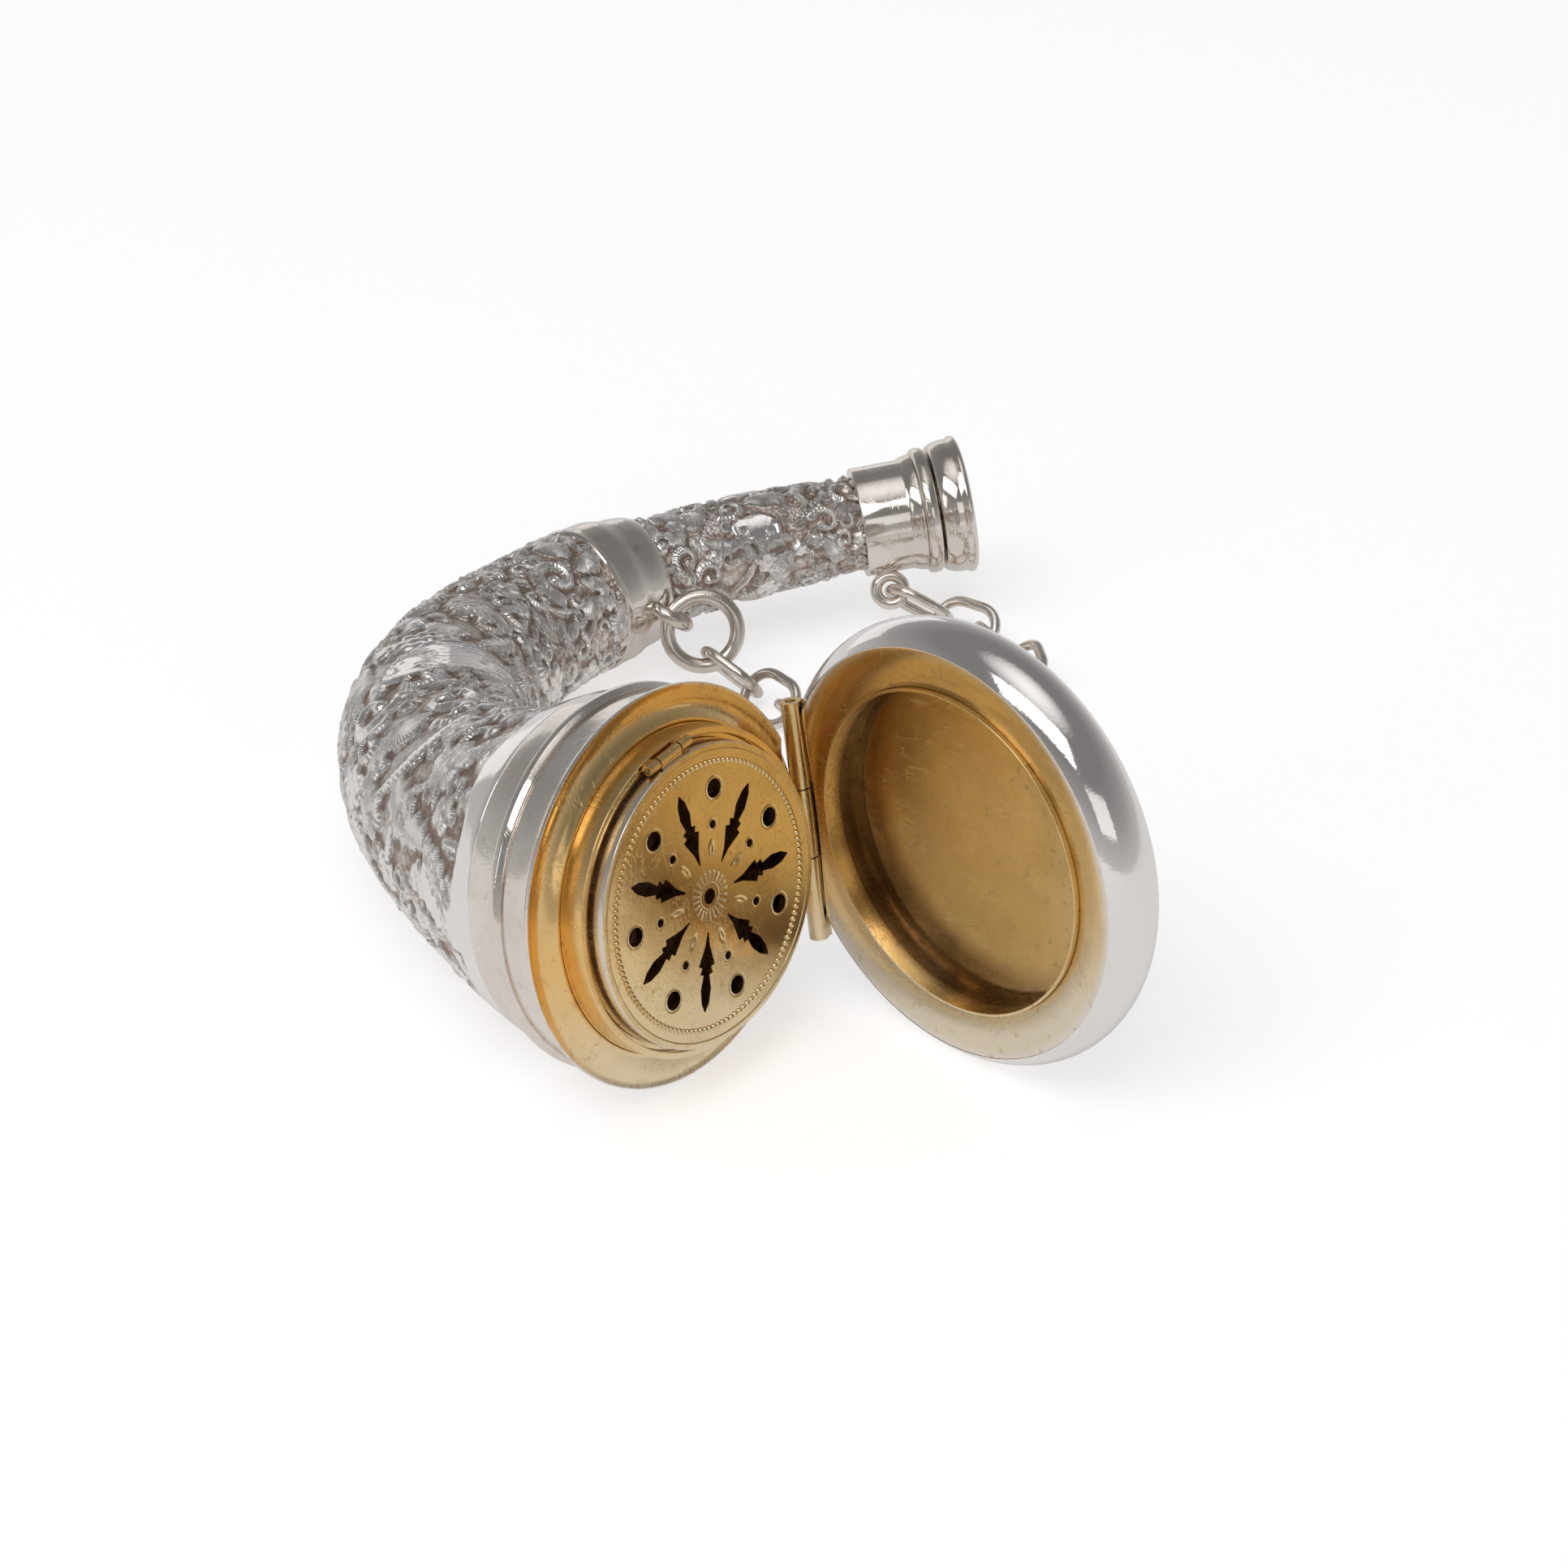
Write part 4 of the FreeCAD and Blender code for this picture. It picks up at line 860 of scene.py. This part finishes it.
def lid_shell():
    """The lid's rolled edge runs into a low dome. The chased height is added square to the dome."""
    columns = 300
    foot, foot_height, rise = 12.9, 5.35, 2.55
    roll = arc((13.84, 0.64), (13.9, 5.1), -1.1, 30)
    shoulder = arc((13.9, 5.1), (foot, foot_height), 0.08, 5)[1:]
    reach = np.linspace(foot, 0.06, 150)[1:]
    crown = np.stack([reach, foot_height + rise * (1 - (reach / foot) ** 2)], -1)
    inside = np.array(((0.05, 7.4), (4.0, 7.2), (8.0, 6.4), (11.0, 5.5), (12.8, 4.9), (13.6, 4.8)))
    back = arc((13.6, 4.8), (13.95, 0.95), 0.8, 12)[1:]
    profile = np.vstack([roll, shoulder, crown, inside, back])
    angle = round_about(columns)
    chasing = Chasing(13.2 - crown[:, 0], angle, crown[:, 0])
    places = []
    chasing.lay(panel, 13.0, 0, 0, 3.0, stretch=1.0)
    for number in range(9):
        degrees = number * 40
        chasing.lay(scroll, 2.4, degrees, 70, 2.1, sweep=330, hand=1 if number % 2 else -1,
                    lift=0.95)
        chasing.lay(leaf, 3.2, degrees + 20, 5, 2.2, lobes=6, lift=0.85)
        places += [(2.4, degrees, 2.0), (5.0, degrees + 20, 1.9)]
    scatter(chasing, places, 2500, ((0, 12), (1.7, 1.2)), (0.4, 9.4))
    height = chasing.finished()
    before = len(roll) + len(shoulder)
    chased = slice(before, before + len(crown))
    full = np.zeros((len(profile), columns))
    full[chased] = height
    tangent = np.gradient(profile, axis=0)
    normal = np.stack([-tangent[:, 1], tangent[:, 0]], -1)
    normal = normal / np.maximum(np.hypot(*normal.T), 1e-9)[:, None]
    drop = np.zeros(len(profile))
    drop[chased] = 0.25 * np.minimum(1, np.arange(len(crown)) / 4)
    outwards = -1 if normal[chased][60, 1] < 0 else 1
    push = (full - drop[:, None]) * outwards
    reach_grid = np.maximum(profile[:, 0:1] + push * normal[:, 0:1], 0.02)
    rise_grid = profile[:, 1:2] + push * normal[:, 1:2]
    points = put([reach_grid * np.cos(angle), reach_grid * np.sin(angle), rise_grid], LID)
    values = {"raised": np.ones_like(full), "hollow": np.zeros_like(full),
              "cut": np.zeros_like(full), "smooth": np.ones_like(full)}
    values["raised"][chased] = height / TALLEST
    values["hollow"][chased] = hollows(height, (1,))
    values["cut"][chased] = chasing.cut
    values["smooth"][chased] = chasing.smooth
    piece = build("lid_shell_chased", points, "lid", CHASED, ("lid_shell",), "chased_silver",
                  ring=True, values=values, sharp=180)
    notched(piece, *SHELL_NOTCH, LID)


lid_shell()
lining = turned("lid_lining_hollow", (
    (13.84, 0.64, 0), (11.0, 1.15, 0.16), (11.0, 1.75, 0), (13.95, 0.95, 0.3)), LID, "lid",
    LINING_GILT, ("lid_lining",), "gilt", fillet=0.1, sharp=70, bare=13.2, fade=0.6)
notched(lining, *SHELL_NOTCH, LID)
# Above 1.9 mm the bezel carries painted shade, for the shadow of the undercut behind its inner
# wall.
turned("lid_bezel_ring", (
    (11.0, 0.74, 0), (11.0, 3.9, 0), (10.94, 3.9, 0), (10.94, 2.25, 0), (10.8, 2.15, 0),
    (10.8, 0.74, 0)), LID, "lid", PALE_GILT, ("lid_bezel",), "gilt", fillet=0.06, sharp=50,
    soot=1.9)


def lid_pan():
    """A dished plate: its height follows a low arc from the middle to a flat seating edge. Painted
    shade lies in the corner, most on the side of the hinge and below, where the bezel's shadow
    falls."""
    rise = arc((0.03, 5.3), (10.3, 3.8), 0.42, 60)
    under = arc((10.3, 4.15), (0.03, 5.6), -0.42, 12)
    profile = np.vstack([rise, ((10.6, 3.74), (10.98, 3.72), (10.99, 3.8), (10.99, 3.95)), under])
    angle = round_about(200)
    # How much painted shade each side of the corner takes: most towards the hinge and below.
    side = np.clip(0.45 + 0.65 * np.cos(angle + 0.6), 0, 1)
    dark = np.clip((profile[:, 0:1] - 8.9 + 2.2 * (side - 0.6)) / 1.3, 0, 1) * side
    build("lid_pan_dished", spun(profile, LID, 200), "lid", PAN_GILT, ("lid_pan",), "gilt",
          poles=(True, True), values={"soot": dark}, sharp=60)


lid_pan()

# Small end
turned("end_collar_turned", (
    (4.07, 0, 0), (4.07, 3.6, 0), (4.35, 4.6, -0.06), (3.3, 4.6, 0), (3.3, 0, 0)), TIP, "horn",
    SILVER, ("end_collar",), "silver", 160, 0.12, 60)
turned("end_moulding_turned", (
    (4.35, 4.6, 0), (4.62, 4.75, 0), (4.72, 5.15, 0), (4.6, 5.6, 0), (4.35, 5.75, 0),
    (3.3, 5.75, 0), (3.3, 4.6, 0)), TIP, "horn", SILVER, ("collar_moulding",), "silver", 160, 0.15,
    70)


def mouthpiece():
    """A bell-shaped end: a waisted wall that flares to a rolled rim, and a cup inside it."""
    wall = arc((4.55, 5.85), (4.95, 7.45), -0.15, 16)
    rim = arc((5.02, 7.6), (4.45, 7.95), -0.42, 14)
    cup = np.array(((4.2, 7.6), (4.12, 7.3), (3.95, 6.8), (3.8, 6.5), (3.5, 6.42), (0.03, 6.4)))
    foot = np.array(((0.03, 5.86), (4.3, 5.86), (4.5, 5.88)))
    profile = np.vstack([foot, wall[1:], rim, cup])
    build("mouthpiece_turned", spun(profile, TIP, 160), "mouthpiece_end", SILVER,
          ("mouthpiece", "mouthpiece_wire"), "silver", poles=(True, True), sharp=60)


mouthpiece()


def cork_grain():
    """Cork: light and dark brown crumbs."""
    made = Finish("cork_grain")
    cloud = made.noise(0.7, 4.0, 0.7)
    colour = made.blend(cloud.step(0.35, 0.65), (0.45, 0.27, 0.14), (0.62, 0.42, 0.25))
    return made.done(colour, 0.8, 0.0, made.bump(cloud, 0.1))


# CAD pieces that keep their shape
for names, finish in (
        ("jump_ring band_eye collar_eye stopper_plug", WIRE_SILVER),
        (" ".join("chain_link_%02d" % number for number in range(1, 13)), WIRE_SILVER),
        ("body_knuckle lid_knuckle_upper lid_knuckle_lower", PALE_GILT),
        ("grille_plate", ENGRAVED_GILT),
        ("grille_hinge_fixed grille_hinge_moving seat_floor scent_liner", GILT),
        ("lid_hinge_pin grille_hinge_pin", PIN_METAL),
        ("stopper_cork", cork_grain())):
    for name in names.split():
        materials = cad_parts[name].data.materials
        materials.clear()
        materials.append(finish)


# Floor, lights and camera
def floor():
    """A wide pale sheet that shows white to the camera and keeps the object's shadow."""
    mesh = bpy.data.meshes.new("floor")
    half = 1.6
    mesh.from_pydata([(-half, -half, 0), (half, -half, 0), (half, half, 0), (-half, half, 0)], [],
                     [(0, 1, 2, 3)])
    made = Finish("pale_floor")
    ray = made.node("ShaderNodeLightPath", output="Is Camera Ray")
    glossy = made.node("ShaderNodeLightPath", output="Is Glossy Ray")
    lit = made.node("ShaderNodeBsdfDiffuse", None, {"Color": (0.9, 0.9, 0.9, 1)})
    white = made.node("ShaderNodeEmission", None, {
        "Color": (1, 1, 1, 1), "Strength": ray * 0.53 + glossy * 0.22})
    both = made.node("ShaderNodeAddShader", None, {0: lit, 1: white})
    made.node("ShaderNodeOutputMaterial", None, {"Surface": both})
    mesh.materials.append(made.material)
    piece = bpy.data.objects.new("floor", mesh)
    bpy.context.scene.collection.objects.link(piece)


floor()


def softbox(name, azimuth, elevation, distance, width, height, brightness):
    """A flat lamp that faces the object from a compass direction: 0 is -Y and 90 is +X."""
    across, rise = math.radians(azimuth), math.radians(elevation)
    away = Vector((math.sin(across) * math.cos(rise), -math.cos(across) * math.cos(rise),
                   math.sin(rise)))
    lamp = bpy.data.lights.new(name, "AREA")
    lamp.shape, lamp.size, lamp.size_y = "RECTANGLE", width, height
    lamp.energy = brightness * math.pi * width * height
    item = bpy.data.objects.new(name, lamp)
    bpy.context.scene.collection.objects.link(item)
    item.location = away * distance
    item.rotation_euler = away.to_track_quat("Z", "Y").to_euler()


softbox("key_window", -80, 56, 0.85, 0.72, 0.36, 2.1)
softbox("front_card", -30, 24, 0.9, 0.5, 0.3, 0.55)
softbox("left_window", -98, 24, 0.9, 0.25, 0.3, 0.9)
softbox("back_card", 152, 6, 0.9, 0.7, 0.3, 0.4)


def studio():
    """A dim room that is brightest low down and straight above, and looks white in the picture."""
    world = bpy.data.worlds.new("studio")
    bpy.context.scene.world = world
    room = Tree(world)
    direction = room.node("ShaderNodeTexCoord", output="Generated")
    rise = room.node("ShaderNodeSeparateXYZ", None, {0: direction}, output="Z")
    camera_ray = room.node("ShaderNodeLightPath", output="Is Camera Ray")
    levels = ((0.0, 0.6), (0.48, 0.5), (0.56, 0.42), (0.66, 0.30), (0.82, 0.2), (0.94, 0.2),
              (1.0, 1.0))
    level = room.node("ShaderNodeValToRGB", {
        "stops": [(height, (grey, grey, grey)) for height, grey in levels]}, {0: rise * 0.5 + 0.5})
    seen = room.blend(camera_ray, level, (1, 1, 1))
    backdrop = room.node("ShaderNodeBackground", None, {"Color": seen, "Strength": 1.0})
    room.node("ShaderNodeOutputWorld", None, {"Surface": backdrop})


def camera():
    """A long lens, above and to the left of the mouth."""
    lens = bpy.data.cameras.new("camera")
    lens.lens, lens.sensor_width = 102.48, 36.0
    lens.clip_start, lens.clip_end = 0.01, 10.0
    item = bpy.data.objects.new("camera", lens)
    bpy.context.scene.collection.objects.link(item)
    right, up = np.array((0.6369, -0.7709, 0.0)), np.array((0.4005, 0.3309, 0.8545))
    columns = np.column_stack([right, up, np.cross(right, up), (-0.20194, -0.16322, 0.16401)])
    item.matrix_world = Matrix([[*row] for row in np.vstack([columns, (0, 0, 0, 1)])])
    bpy.context.scene.camera = item


studio()
camera()
bpy.context.scene.view_settings.view_transform = "Standard"
